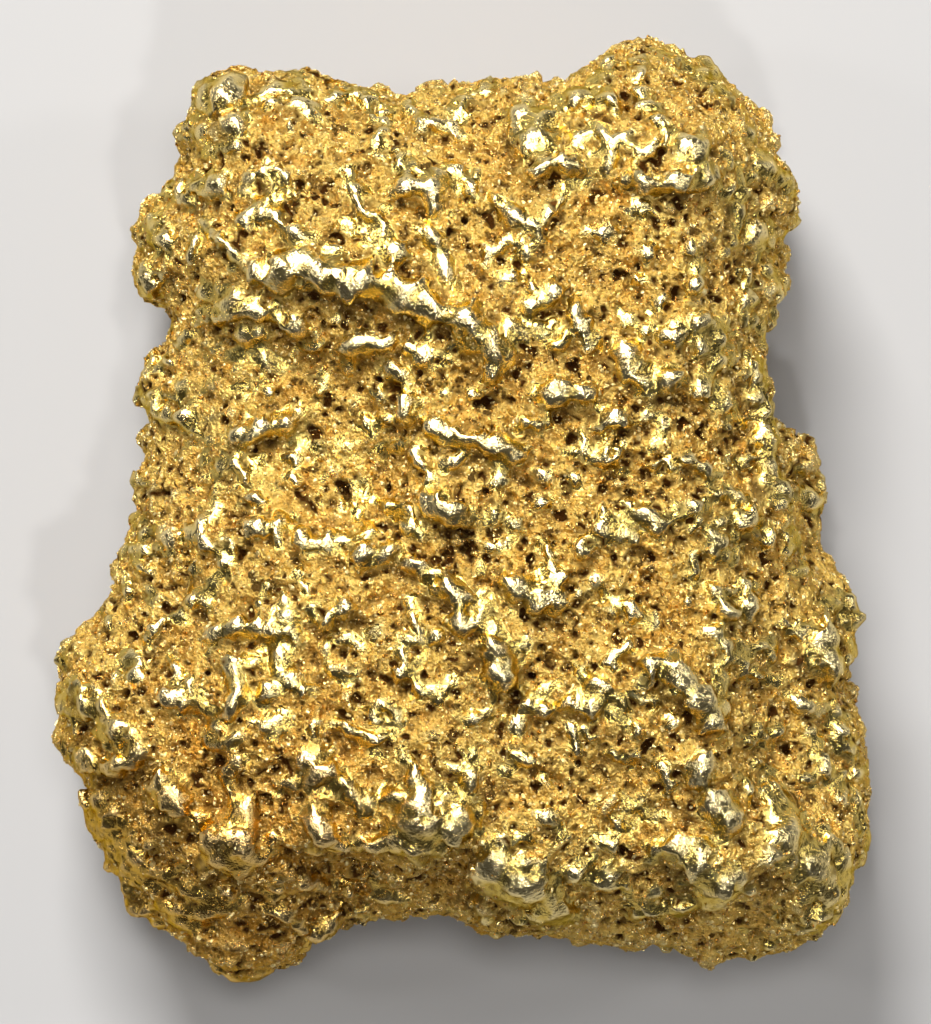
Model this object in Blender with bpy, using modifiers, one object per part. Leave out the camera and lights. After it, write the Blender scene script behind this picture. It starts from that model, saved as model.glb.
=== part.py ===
"""A native gold nugget, about 20 mm across, lying on its back.

The nugget is one solid. Its outline is drawn flat and thickened into a pillow with uneven
faces. Parts of the front are lowered behind ledges, low ridges run along its grain, and worn
crests are raised and pits sunk in it. Wandering ridges and pits run over the sides and the
back, and the lowest lumps are worn flat where it rests.
+X is the nugget's right, +Y its top end and +Z the way its front faces. It is shaped in
millimetres and made metres at the end, with its origin under the middle of its box.
"""

import math
import random

import bmesh
import bpy
import numpy as np
from mathutils import Quaternion, Vector, noise
from mathutils.bvhtree import BVHTree

METRES_PER_MM = 0.001
SEED = 2354
TRIANGLES = 9800

# The blank, in millimetres.
SLAB_HALF_THICKNESS = 3.0
BLANK_VOXEL = 0.3
SURFACE_VOXEL = 0.12
OUTLINE_STEP = 0.15
RIM_RADIUS = 2.3
RIM_RELIEF = 0.14
WALL_DEPTH = 0.3
WALL_TOP = 0.98
BACK_DEPTH = 3.9
HEIGHT_BLEND = 0.25
HEIGHT_REACH = 3.0
CURVE_STEPS = 4
SMOOTHING = 0.5
SMOOTHING_ROUNDS = 8

# Swells over the whole nugget, and ridges along the grain of the front, in millimetres.
SWELL_SIZE = 2.6
SWELL_HEIGHT = 0.24
SWELL_ON_FRONT = 0.6
SWELL_ON_BACK = 2.0
SWELL_SEED = 1
FLOW_TURN = math.radians(-24)
FLOW_SIZE = (0.95, 0.42, 0.6)
FLOW_HEIGHT = 0.18
FLOW_SEED = 17
GROUND_SIZE = 0.55
GROUND_HEIGHT = 0.06
GROUND_SEED = 5
LEDGE_SIZE = 0.9
LEDGE_WANDER = 0.14
LEDGE_SEEDS = (31, 37)
RIM_HEIGHT = 2.0

# Crests, each on a broad base and steeper on its lower side, in millimetres.
CREST_STEP = 0.08
CREST_LEAN = 0.12
CREST_GAIN = 1.5
CREST_DOWNHILL = 0.88
CREST_UPHILL = 0.7
CREST_ROUNDNESS = 0.45
LEAST_TAPER = 0.35
BASE_WIDTH = 2.8
BASE_HEIGHT = 0.5
BASE_DOWNHILL = 0.4
STRAY_RIDGES = 560
STRAY_STEP = 0.18
STRAY_TURN = 0.35
STRAY_SPREAD = (10, 11, 4)
STRAY_POINTS = (2, 14)
STRAY_WIDTH = (0.16, 0.56)
STRAY_SLENDERNESS = 1.6
STRAY_HEIGHT_TO_WIDTH = (0.45, 0.75)
STRAY_LEAST_WIDTH = 0.3
FRONT_FACING = 0.45

# How far up a place must face to count as the front, for swells and for crests and pits.
FACES_UP = 0.5
LEAST_FACING = 0.1

# Pits, in millimetres.
PIT_DEPTH = 2.1
STRAY_PITS = 130
STRAY_PIT_RADIUS = (0.18, 0.34)
RAGGED_SIZE = 0.3
RAGGEDNESS = 0.2
RAGGED_SEEDS = (11, 13, 19)

# What was worn off where the nugget rests, and what is levelled after it is thinned.
WORN_OFF = 0.55
FLAT_SLACK = 0.08

# Where the surface keeps more of its triangles, and how much less it is thinned there.
KEPT_FACING = 0.15
KEPT_ABOVE = 0.5
KEPT_THINNING = 0.3
THINNING_FACTOR = 0.02

# The edge of the nugget seen from the front, clockwise from its top left knob.
OUTLINE = (
    (-6.15, 10.6), (-5.85, 10.85), (-5.45, 10.8), (-5.1, 10.75), (-4.85, 10.9), (-4.35, 11),
    (-3.95, 10.9), (-3.45, 10.7), (-2.95, 10.5), (-2.55, 10.35), (-1.65, 10.3), (-1.2, 10.45),
    (-0.85, 10.6), (-0.15, 10.4), (0.4, 10.6), (0.8, 10.5), (1.15, 10.7), (1.35, 10.9), (1.7, 10.9),
    (2.05, 10.6), (2.35, 10.5), (2.75, 10.75), (3, 11.1), (3.4, 11.4), (3.95, 11.65), (4.4, 11.75),
    (4.85, 11.65), (5.4, 11.3), (6.15, 10.9), (6.65, 10.45), (7.1, 10.15), (7.35, 9.8), (7.6, 9.25),
    (7.85, 8.75), (8.15, 8.3), (8.25, 7.95), (8.3, 7.55), (8.1, 7.25), (7.85, 6.9), (7.85, 6.4),
    (8, 5.75), (7.9, 5.3), (7.6, 4.85), (7.55, 4.4), (7.35, 3.8), (7.5, 3.1), (7.55, 2.4), (7.65, 1.9),
    (8, 1.7), (8.4, 1.7), (8.65, 1.35), (8.8, 0.75), (8.7, 0.2), (8.75, -0.4), (8.6, -1.1),
    (8.85, -1.4), (9.45, -1.6), (9.75, -2), (9.95, -2.55), (9.8, -3.1), (9.8, -3.75), (9.6, -4.2),
    (9.75, -4.7), (10.05, -5.2), (10.2, -5.5), (10.1, -6.1), (10.25, -6.75), (10.35, -7.55),
    (10.2, -8.25), (9.9, -8.9), (9.6, -9.45), (9.4, -10.1), (9, -10.5), (8.5, -10.9), (8.1, -11.25),
    (7.5, -11.3), (7.2, -11.4), (6.85, -11.35), (6.45, -11.7), (6, -11.7), (5.7, -11.3), (4.9, -11),
    (4.05, -11), (3.55, -11), (2.8, -10.8), (1.9, -10.7), (1.3, -10.9), (0.55, -10.9), (0.05, -10.6),
    (-0.85, -10.4), (-1.85, -10.4), (-2.8, -10.55), (-3.35, -10.85), (-4.15, -11.1), (-4.35, -11.6),
    (-4.95, -11.7), (-5.5, -11.65), (-5.95, -11.75), (-6.4, -11.4), (-7, -10.9), (-7.65, -10.45),
    (-8.1, -9.8), (-8.6, -9.3), (-8.95, -8.95), (-9.2, -8.2), (-9.5, -7.3), (-9.75, -6.6),
    (-10.05, -6.1), (-10.1, -5.3), (-10.35, -4.7), (-10.3, -4.1), (-10.15, -3.45), (-10, -3.1),
    (-9.45, -2.75), (-9.05, -2.6), (-8.7, -2.1), (-8.65, -1.5), (-8.55, -1), (-8.35, -0.65),
    (-8.1, -0.2), (-8.15, 0.75), (-7.95, 1.5), (-7.85, 2.25), (-8.05, 2.9), (-7.9, 3.45), (-7.6, 4.1),
    (-7.4, 4.75), (-7.4, 5.25), (-7.85, 5.5), (-8.15, 5.75), (-8.2, 6.1), (-8, 6.3), (-8, 7.2),
    (-7.75, 7.55), (-7.25, 7.8), (-7.15, 8.2), (-6.75, 8.55), (-7.1, 9.05), (-7.1, 9.5), (-6.95, 9.8),
    (-6.9, 10.2), (-6.6, 10.5),
)

# Where the front stands high or low: (x, y, height above the seam).
FRONT_HEIGHTS = (
    (-6.0, 10.1, 3.5), (-5.2, 8.8, 4.0), (-7.7, 7.0, 2.6), (-7.9, 6.0, 2.5), (-3.2, 9.4, 4.0),
    (0.2, 9.6, 3.9), (2.6, 9.0, 4.3), (4.4, 10.6, 3.7), (5.2, 9.0, 4.6), (7.4, 8.0, 3.2),
    (7.5, 5.9, 3.4), (5.2, 6.6, 4.5), (2.2, 6.4, 4.6), (-0.9, 7.0, 4.6), (-3.6, 6.2, 4.7),
    (-5.6, 6.0, 4.3), (-6.9, 5.0, 3.5), (-5.0, 4.0, 3.8), (-5.3, 1.8, 3.6), (-7.4, 2.6, 3.2),
    (-7.4, 0.2, 3.1), (-5.2, -0.8, 3.9), (-2.4, 3.6, 4.2), (-2.8, 1.0, 4.1), (0.4, 3.6, 4.8),
    (0.2, 0.4, 4.8), (3.2, 2.2, 4.8), (6.0, 3.8, 4.6), (7.3, 2.0, 4.2), (7.6, -0.2, 3.7),
    (8.4, 0.4, 1.5), (5.4, -0.2, 4.6), (2.8, -1.8, 4.8), (-1.2, -2.2, 4.7), (-4.4, -2.2, 4.5),
    (-7.6, -2.0, 3.2), (-5.4, -3.6, 3.9), (-8.8, -3.4, 2.7), (-9.4, -5.0, 2.7), (-7.6, -5.2, 3.5),
    (-9.0, -7.4, 2.3), (-7.0, -7.6, 3.4), (-5.4, -8.2, 3.9), (-4.4, -5.6, 4.5), (-3.4, -7.6, 4.7),
    (-1.2, -7.9, 4.6), (-2.8, -9.3, 2.5), (-5.6, -10.2, 2.2), (-7.4, -9.4, 2.2), (-0.6, -9.8, 2.2),
    (-1.2, -5.2, 4.7), (1.8, -5.4, 4.7), (1.8, -8.0, 4.5), (2.0, -9.6, 3.3), (4.4, -4.4, 4.9),
    (5.8, -6.0, 4.6), (4.6, -8.4, 4.2), (6.6, -8.6, 4.1), (5.2, -10.0, 3.0), (7.0, -10.8, 2.2),
    (7.9, -6.2, 2.8), (9.6, -6.6, 2.2), (8.8, -9.1, 3.1), (9.0, -3.4, 2.2), (9.5, -2.6, 1.4),
    (7.6, -2.2, 3.4), (8.6, -4.4, 3.0), (6.2, -2.8, 4.4), (4.6, 1.0, 4.7), (1.4, -9.0, 4.1),
)

# Crests on the front: (width, height, the line of the crest).
UPPER_LEFT_CRESTS = (
    (0.85, 0.42, ((-6.5, 10.1), (-6.05, 10.25), (-5.5, 10.1))),
    (0.45, 0.24, ((-5.35, 10), (-4.85, 10.2), (-4.35, 10.25), (-3.95, 10), (-3.7, 9.6))),
    (0.55, 0.28, ((-6.8, 9.7), (-6.8, 9.25))),
    (0.55, 0.36, ((-7, 7.8), (-6.6, 7.95), (-6.2, 8.1), (-5.75, 8.1))),
    (0.33, 0.22, ((-5.4, 8.15), (-5, 8.3), (-4.65, 8.45), (-4.45, 8.2), (-4.3, 7.95))),
    (0.45, 0.28, ((-7.8, 7.35), (-7.65, 7.1), (-7.4, 6.75), (-7.3, 6.4))),
    (0.6, 0.36, ((-8, 6.05), (-7.8, 5.85), (-7.55, 5.6))),
    (0.33, 0.22, (
        (-5.55, 6.9), (-5.35, 7.2), (-5, 7.3), (-4.65, 7.3), (-4.4, 7), (-4.05, 6.8), (-3.6, 6.6),
    )),
    (0.58, 0.46, (
        (-5.45, 6.2), (-5.15, 5.95), (-4.65, 5.85), (-4.2, 6), (-3.7, 6), (-3.2, 5.8), (-2.55, 5.65),
        (-2.1, 5.75), (-1.75, 5.6), (-1.25, 5.3), (-0.65, 5), (-0.05, 4.7), (0.45, 4.3), (0.9, 3.9),
        (0.75, 3.45), (0.95, 3.05),
    )),
)
UPPER_CENTRE_CRESTS = (
    (0.38, 0.28, ((-3.5, 10.05), (-3.1, 10.25), (-2.7, 10.2), (-2.3, 10), (-1.9, 9.8))),
    (0.35, 0.24, ((-1.9, 7.8), (-1.55, 7.85), (-1.15, 8), (-0.8, 7.9), (-0.75, 7.5), (-0.65, 7.2))),
    (0.5, 0.26, ((-1.85, 6.8), (-1.7, 6.4), (-1.4, 6.2))),
    (0.35, 0.24, ((-1.15, 7), (-0.8, 6.75), (-0.65, 6.45), (-0.55, 6.05), (-0.35, 5.7), (-0.2, 5.35))),
    (0.35, 0.32, ((1.55, 8.2), (1.9, 8.4), (2.3, 8.5), (2.6, 8.5), (2.9, 8.35))),
    (1.05, 0.22, ((1.2, 9.8), (1.65, 9.65), (2.05, 9.3), (2.4, 9.1))),
    (0.45, 0.24, ((2.4, 9.95), (2.9, 10.1), (3.4, 10.1), (3.95, 9.85))),
)
UPPER_RIGHT_CRESTS = (
    (0.45, 0.38, ((3.85, 8.1), (4.4, 8.2), (4.85, 8.15), (5.3, 8.2), (5.75, 8.3), (6.25, 8.3))),
    (0.38, 0.24, ((6.75, 8.35), (7.05, 8.3), (7.35, 8.5), (7.7, 8.45), (8.05, 8.15), (8.15, 7.75))),
    (0.65, 0.22, ((5.25, 8.85), (5.6, 9), (5.9, 8.7))),
    (0.65, 0.24, ((6.95, 7), (7.35, 6.85), (7.6, 6.6))),
)
MIDDLE_LEFT_CRESTS = (
    (0.38, 0.26, (
        (-6.5, 4.75), (-6, 4.8), (-5.45, 5), (-4.85, 4.95), (-4.35, 4.75), (-4.05, 4.5), (-3.7, 4.35),
    )),
    (0.5, 0.36, ((-5.8, 1.7), (-5.35, 1.9), (-4.8, 2.1), (-4.35, 2.2), (-4.1, 2.6))),
    (0.38, 0.22, ((-7.95, 3.05), (-7.75, 2.7), (-7.45, 2.4), (-7.05, 2.3), (-6.5, 2.25))),
    (0.35, 0.24, ((-5.5, -0.5), (-4.95, -0.55), (-4.4, -0.4))),
)
MIDDLE_CENTRE_CRESTS = (
    (0.35, 0.26, ((2.2, 5.7), (2.15, 5.3), (1.8, 5.1), (1.45, 4.9))),
    (0.43, 0.28, ((2.55, 5.25), (2.75, 4.95), (2.85, 4.55), (3.1, 4.2), (3.35, 4))),
    (0.38, 0.22, ((0.95, 4.7), (1.35, 4.5), (1.9, 4.5), (2.4, 4.7))),
    (0.5, 0.34, ((1.7, 2.8), (2.1, 2.85), (2.45, 2.95), (2.9, 2.9), (3.25, 2.7))),
    (0.55, 0.4, ((-1.25, 2.85), (-1.3, 2.55), (-1.1, 2.3))),
    (0.35, 0.34, (
        (-1.1, 2.3), (-0.75, 2.1), (-0.35, 1.85), (0, 1.7), (0.3, 1.7), (0.55, 1.5), (0.95, 1.5),
        (1.3, 1.3), (1.6, 1.15),
    )),
    (0.45, 0.3, ((-3.2, 3.9), (-2.75, 4.1), (-2.2, 4.15), (-1.6, 4.2))),
    (0.45, 0.26, ((-1.5, 4.1), (-1.2, 3.95), (-0.95, 3.8), (-0.8, 3.55))),
    (0.38, 0.22, ((-2, 3.55), (-1.6, 3.45), (-1.35, 3.2), (-1.25, 2.85))),
    (0.5, 0.36, ((-1, 0.3), (-0.6, 0.1), (-0.2, -0.1), (0.3, -0.25))),
    (0.4, 0.3, ((-2.75, -1.4), (-2.4, -1.15), (-2.05, -1.2), (-1.7, -1))),
    (0.4, 0.3, ((-1.55, -1.3), (-1.1, -1.4), (-0.75, -1.6), (-0.45, -1.95), (0, -2.2), (0.55, -2.2))),
    (0.45, 0.32, ((0.85, -1.65), (1.25, -1.95), (1.7, -2.15), (2.15, -2.3), (2.6, -2.3))),
    (0.4, 0.26, ((3.35, -0.9), (3.45, -0.45), (3.8, -0.2))),
)
MIDDLE_RIGHT_CRESTS = (
    (0.5, 0.22, ((4.9, 4.1), (5.2, 4.35), (5.45, 4.6))),
    (0.38, 0.26, ((5.55, 4.5), (5.95, 4.7), (6.2, 4.5), (6.3, 4.15), (6.65, 3.9))),
    (0.4, 0.36, (
        (6.85, 4.05), (7.05, 3.7), (7.1, 3.2), (7.2, 2.7), (7.35, 2.1), (7.35, 1.6), (7.35, 1.2),
        (7.5, 0.8), (7.65, 0.5), (7.9, 0.1), (8.1, -0.2),
    )),
    (0.5, 0.34, (
        (3.8, 4.25), (3.95, 3.85), (4.1, 3.4), (4.4, 3.1), (4.8, 3.05), (5.1, 3.25), (5.5, 3.2),
    )),
    (0.75, 0.26, ((3.7, 2.55), (3.8, 1.95))),
    (0.43, 0.34, ((6.55, -0.3), (6.9, -0.25), (7.15, 0.1))),
    (0.4, 0.22, ((6.45, -2.2), (6.85, -1.95), (7.35, -2))),
)
LOWER_LEFT_CRESTS = (
    (0.35, 0.3, (
        (-9.9, -4.3), (-9.45, -4.45), (-9.2, -4.75), (-9.35, -5.05), (-9.65, -5.1), (-9.95, -4.85),
        (-9.9, -4.5),
    )),
    (0.43, 0.36, ((-10, -5.95), (-9.6, -6.2), (-9.05, -6.3), (-8.55, -6.3), (-8.1, -6.1), (-7.9, -5.8))),
    (0.6, 0.26, ((-9.15, -4.85), (-8.8, -5.2), (-8.6, -5.6), (-8.1, -5.7))),
    (0.45, 0.26, ((-7.65, -4.7), (-7.2, -4.75), (-6.9, -4.8), (-7.15, -5.1))),
    (0.35, 0.24, ((-6.45, -3.3), (-5.95, -3.05), (-5.3, -2.95), (-4.55, -3), (-4, -3.1))),
    (0.33, 0.26, (
        (-6.05, -3.9), (-5.7, -4.05), (-5.55, -4.4), (-5.6, -4.8), (-5.8, -5.1), (-6.05, -5.2),
    )),
    (0.35, 0.24, ((-4.8, -3.5), (-4.5, -3.8), (-4.6, -4.1), (-4.35, -4.3), (-4.15, -4.7))),
    (0.35, 0.28, ((-3.55, -2.9), (-3.2, -2.6), (-2.75, -2.35))),
    (0.55, 0.34, ((-3.75, -5.5), (-3.55, -5.5))),
    (0.38, 0.28, ((-4.2, -6.3), (-3.8, -6.2), (-3.4, -6))),
    (0.75, 0.26, ((-3.55, -6.45), (-3.4, -6.85))),
    (0.43, 0.22, ((-3.25, -6.65), (-2.9, -7), (-2.45, -7.1))),
    (0.6, 0.24, ((-5.45, -7.25), (-5.4, -7.7), (-5.35, -8.1))),
    (0.9, 0.3, ((-7.5, -6.9), (-7.1, -7.2), (-6.8, -7.3))),
    (0.5, 0.26, ((-6.3, -8.5), (-5.75, -8.7), (-5.1, -8.5))),
    (0.33, 0.24, (
        (-5.15, -9.9), (-4.5, -10.1), (-4.1, -10.5), (-3.6, -10.6), (-3.35, -10.3), (-3.25, -9.7),
    )),
)
LOWER_CENTRE_CRESTS = (
    (0.35, 0.24, ((-1.55, -3.4), (-1.5, -3.85), (-1.65, -4.3))),
    (0.35, 0.28, ((-0.5, -2.9), (-0.2, -2.75), (0.1, -2.95), (0.35, -2.7), (0.15, -2.4))),
    (0.3, 0.22, ((0.35, -2.85), (0.65, -3), (0.9, -3.4), (1.2, -4), (1.55, -4.6))),
    (0.6, 0.38, ((0.65, -3.15), (0.8, -3.6), (0.9, -4.1), (0.75, -4.6))),
    (0.4, 0.26, ((2.25, -5), (2.6, -4.8), (3.05, -4.95), (3.5, -4.95))),
    (0.75, 0.32, ((0.45, -8.55), (0.9, -8.5), (1.45, -8.8), (1.95, -9.1))),
    (0.3, 0.22, ((2.05, -9.1), (2.4, -9.4), (2.7, -9.8), (2.9, -10.1))),
    (0.38, 0.24, ((3.1, -9.3), (3.55, -9.2), (3.95, -9.1))),
    (0.28, 0.22, ((0.1, -7.2), (0.3, -7.6), (0.45, -8.1))),
    (0.38, 0.3, ((-1.55, -5.95), (-1.3, -6.45), (-1.2, -6.8), (-1.5, -7.1), (-2.05, -7.25))),
    (1.15, 0.4, ((-1.7, -7.65), (-1.05, -7.55), (-0.45, -7.7), (0.05, -8))),
    (0.38, 0.32, (
        (-3.65, -7.2), (-3.7, -7.75), (-3.4, -8.1), (-2.8, -8.2), (-2.15, -8.15), (-1.55, -8.2),
        (-1, -8.3), (-0.45, -8.45),
    )),
    (0.33, 0.22, ((-3.35, -7.1), (-2.85, -7.15), (-2.4, -7.25), (-2.35, -7.75))),
    (0.28, 0.22, ((-3.3, -5.25), (-2.9, -5.45), (-2.55, -5.6), (-2.2, -5.7), (-1.85, -5.65))),
    (0.4, 0.24, ((0.7, -9.35), (1.4, -9.65), (2.3, -9.9), (3.05, -10.1))),
)
LOWER_RIGHT_CRESTS = (
    (0.26, 0.26, ((7.5, -7.3), (7.95, -7.9), (8.5, -8.6))),
    (0.55, 0.22, ((6.85, -2.4), (7.2, -2.45))),
    (0.35, 0.22, ((7.9, -2.8), (8.2, -3), (8.5, -2.9))),
    (0.55, 0.44, ((8.6, -2.8), (8.7, -3.3), (8.85, -3.8), (8.95, -4.3))),
    (0.48, 0.36, (
        (4.4, -4.45), (4.5, -4.1), (4.85, -3.9), (5.2, -4.1), (5.45, -4.5), (5.75, -4.8), (6.05, -5.2),
        (6.35, -5.55),
    )),
    (0.5, 0.32, ((5.9, -5.95), (5.85, -6.4), (5.9, -6.9))),
    (0.65, 0.36, ((6.05, -7.05), (6.3, -7.45), (6.65, -7.9))),
    (0.35, 0.24, ((7.3, -6.7), (7.65, -7.2), (8.1, -7.65), (8.6, -8.15))),
    (0.35, 0.24, ((7.45, -7.6), (7.85, -8.05), (8.3, -8.5), (8.55, -8.75))),
    (0.43, 0.28, ((8.5, -8.6), (8.85, -8.4), (9.2, -8.55), (9.35, -8.95), (9.35, -9.45))),
    (0.35, 0.26, ((8.4, -8.9), (8.5, -9.4), (8.8, -9.6), (9.15, -9.35))),
    (0.4, 0.26, ((4.6, -8.4), (4.95, -8.4), (5.35, -8.45))),
    (0.75, 0.28, ((5.85, -9.15), (6.3, -9.45), (6.65, -9.75))),
    (0.45, 0.26, ((3.9, -9.9), (4.9, -9.9), (5.9, -9.7))),
)

# Broad smooth lobes on the lower end: (width, height, line).
LOBES = (
    (1.1, 0.45, ((0.3, -8.3), (1.2, -8.9), (2, -9.5), (2.8, -10.15))),
    (0.8, 0.42, ((5, -8.1), (5.7, -8.5), (6.3, -9.1), (6.7, -9.7))),
    (1, 0.4, ((7.3, -8), (8.2, -8.6), (8.9, -9.3), (8.8, -10), (8, -10.5))),
    (0.75, 0.35, ((-7.7, -6.6), (-7.3, -7), (-6.9, -7.6))),
    (0.75, 0.35, ((-6.3, -8), (-5.8, -8.3), (-5.3, -8.6))),
    (0.9, 0.35, ((-9.2, -7), (-9, -7.6), (-8.7, -8.2))),
)
FRONT_CRESTS = (
    UPPER_LEFT_CRESTS
    + UPPER_CENTRE_CRESTS
    + UPPER_RIGHT_CRESTS
    + MIDDLE_LEFT_CRESTS
    + MIDDLE_CENTRE_CRESTS
    + MIDDLE_RIGHT_CRESTS
    + LOWER_LEFT_CRESTS
    + LOWER_CENTRE_CRESTS
    + LOWER_RIGHT_CRESTS
    + LOBES
)

# Parts of the front that lie lower than their surroundings: (drop, slope, edge).
TERRACES = (
    (1.5, 0.4, (
        (7.65, 2.4), (7.66, 1.6), (7.8, 0.9), (8.1, 0.35), (8.4, -0.2), (8.35, -0.8), (8.5, -1.3),
        (9.3, -1.3), (9.7, 0.25), (9.2, 2.3),
    )),
    (1.1, 0.4, (
        (8.4, -1.6), (8.7, -2.5), (9.06, -3.05), (9.2, -3.75), (9.3, -4.5), (9.45, -5.1), (10.6, -5.1),
        (10.6, -1.3), (9.2, -0.9), (8.4, -1.25),
    )),
    (0.7, 0.3, (
        (-4.8, -8.35), (-3.7, -8.45), (-2.3, -8.5), (-0.85, -8.65), (-0.2, -8.6), (0.4, -9.25),
        (1.4, -10.1), (2.4, -10.6), (3.4, -10.9), (3.4, -11.5), (-4.1, -11.5), (-4.35, -10.5),
        (-3.35, -9.75), (-4.1, -9),
    )),
    (0.32, 0.8, (
        (-7.1, 4), (-5.6, 4.45), (-3.85, 4.2), (-2.6, 3.5), (-1.75, 2), (-1.6, 0.25), (-2.85, -0.5),
        (-4.6, -0.25), (-6.6, -0.5), (-7.45, 1), (-7.35, 2.75),
    )),
)

# The larger pits on the front: (x, y, radius).
PITS = (
    (-3.25, 9.55, 0.25), (-1.85, 9.6, 0.28), (-0.85, 9.1, 0.3), (0.25, 9.8, 0.28), (0.55, 5.9, 0.28),
    (1, 5.45, 0.3), (3.15, 6.2, 0.23), (2.25, 9.6, 0.25), (4.8, 8.75, 0.33), (5.55, 7.05, 0.33),
    (6.05, 7.95, 0.25), (6.95, 9.1, 0.23), (-3.25, 4.2, 0.23), (0.05, 3.55, 0.38), (-0.45, 3.05, 0.33),
    (0.7, 2.6, 0.28), (1.55, 2.55, 0.3), (1.7, 2, 0.23), (2.4, 1.2, 0.28), (2.55, 3.6, 0.23),
    (1.2, 3.5, 0.25), (5.45, 2.35, 0.3), (4.4, 1.5, 0.23), (4.65, 0.75, 0.38), (5.8, 0.95, 0.33),
    (5.65, 0.45, 0.23), (6.05, 0.2, 0.23), (6.25, 1.9, 0.23), (5.45, -0.5, 0.33), (2.05, -1, 0.3),
    (3.55, -1.25, 0.23), (0.65, -1.95, 0.28), (-0.6, -0.75, 0.3), (-2.2, 0, 0.28), (0.5, 0.05, 0.33),
    (-6.95, 0.55, 0.28), (-6.45, 0.25, 0.25), (-4.35, 0.4, 0.23), (-3.75, -2, 0.23), (4.2, -2.05, 0.3),
    (3.8, -2.6, 0.25), (5.65, -2.95, 0.28), (7.6, -2.2, 0.3), (-2.75, -3.8, 0.25), (-0.05, -4.3, 0.25),
    (5.15, -4.75, 0.23), (5.15, -6, 0.33), (3.55, -5.95, 0.3), (8.05, -5.95, 0.28), (8.25, -6.4, 0.28),
    (8, -4.35, 0.23), (2.8, -7, 0.23), (-2.85, -7.45, 0.28), (-4.6, -6.35, 0.25), (-6.45, -6.1, 0.28),
    (-6.15, -4.4, 0.23), (-6.4, -2.9, 0.23), (-7.85, -7, 0.25), (-8.85, -5.95, 0.3), (5.45, -9.95, 0.3),
    (0.15, -9.9, 0.25), (-7.05, -8.65, 0.25), (-7.15, -2.4, 0.23), (4.6, -9.25, 0.25),
    (-9.6, -4.75, 0.23),
)

MATERIAL_NAME = "native_gold"
GOLD_COLOUR = (0.83, 0.58, 0.19, 1.0)
GOLD_ROUGHNESS = 0.35


def clear_scene():
    for old in list(bpy.data.objects):
        bpy.data.objects.remove(old, do_unlink=True)


def collection_named(name):
    made = bpy.data.collections.new(name)
    bpy.context.scene.collection.children.link(made)
    return made


def gold_material():
    material = bpy.data.materials.new(MATERIAL_NAME)
    material.use_nodes = True
    surface = material.node_tree.nodes["Principled BSDF"]
    surface.inputs["Base Color"].default_value = GOLD_COLOUR
    surface.inputs["Metallic"].default_value = 1.0
    surface.inputs["Roughness"].default_value = GOLD_ROUGHNESS
    material.diffuse_color = GOLD_COLOUR
    return material


def outline_slab(collection):
    """A flat slab of the nugget's outline, half its thickness to each side of the seam."""
    curve = bpy.data.curves.new("outline", "CURVE")
    curve.dimensions = "2D"
    curve.fill_mode = "BOTH"
    curve.extrude = SLAB_HALF_THICKNESS
    curve.resolution_u = CURVE_STEPS
    spline = curve.splines.new("BEZIER")
    spline.bezier_points.add(len(OUTLINE) - 1)
    for knot, (x, y) in zip(spline.bezier_points, OUTLINE):
        knot.co = (x, y, 0.0)
        knot.handle_left_type = knot.handle_right_type = "AUTO"
    spline.use_cyclic_u = True
    drawn = bpy.data.objects.new("outline", curve)
    collection.objects.link(drawn)
    drawn.hide_render = True
    drawn.display_type = "WIRE"
    return drawn


def evaluated_mesh(source):
    """The mesh of an object with its modifiers applied."""
    graph = bpy.context.evaluated_depsgraph_get()
    return bpy.data.meshes.new_from_object(source.evaluated_get(graph))


def with_modifier(nugget, kind, **settings):
    """Applies one modifier to the nugget."""
    modifier = nugget.modifiers.new(kind.lower(), kind)
    for name, value in settings.items():
        setattr(modifier, name, value)
    changed = evaluated_mesh(nugget)
    nugget.modifiers.clear()
    nugget.data = changed


def remesh(nugget, voxel):
    with_modifier(nugget, "REMESH", mode="VOXEL", voxel_size=voxel, adaptivity=0.0)


def vertices_of(mesh):
    flat = np.empty(len(mesh.vertices) * 3, np.float32)
    mesh.vertices.foreach_get("co", flat)
    return flat.reshape(-1, 3).astype(np.float64)


def normals_of(mesh):
    flat = np.empty(len(mesh.vertices) * 3, np.float32)
    mesh.vertex_normals.foreach_get("vector", flat)
    return flat.reshape(-1, 3).astype(np.float64)


def move_vertices(mesh, places):
    mesh.vertices.foreach_set("co", places.astype(np.float32).ravel())
    mesh.update()


def smooth_line(points, step, closed=False):
    """Points at most a step apart on a smooth curve through the given ones."""
    points = np.array(points, float)
    if closed:
        before, after = points[-1], points[:2]
    else:
        before = 2 * points[0] - points[1]
        after = [2 * points[-1] - points[-2]]
    ring = np.vstack([[before], points, after])
    pieces = []
    for a, b, c, d in zip(ring, ring[1:], ring[2:], ring[3:]):
        count = max(2, math.ceil(np.linalg.norm(c - b) / step))
        t = np.linspace(0, 1, count, endpoint=False)[:, None]
        bend = (2 * a - 5 * b + 4 * c - d) * t**2 + (3 * b - a - 3 * c + d) * t**3
        pieces.append(b + 0.5 * ((c - a) * t + bend))
    if not closed:
        pieces.append(points[-1:])
    return np.vstack(pieces)


def nearest(places, targets, chunk=4000):
    """For each place, the index of the nearest target and the distance to it."""
    found = np.empty(len(places), int)
    distance = np.empty(len(places))
    for start in range(0, len(places), chunk):
        part = places[start : start + chunk]
        square = ((part[:, None, :] - targets[None, :, :]) ** 2).sum(axis=2)
        index = square.argmin(axis=1)
        found[start : start + chunk] = index
        distance[start : start + chunk] = np.sqrt(square[np.arange(len(part)), index])
    return found, distance


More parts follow.
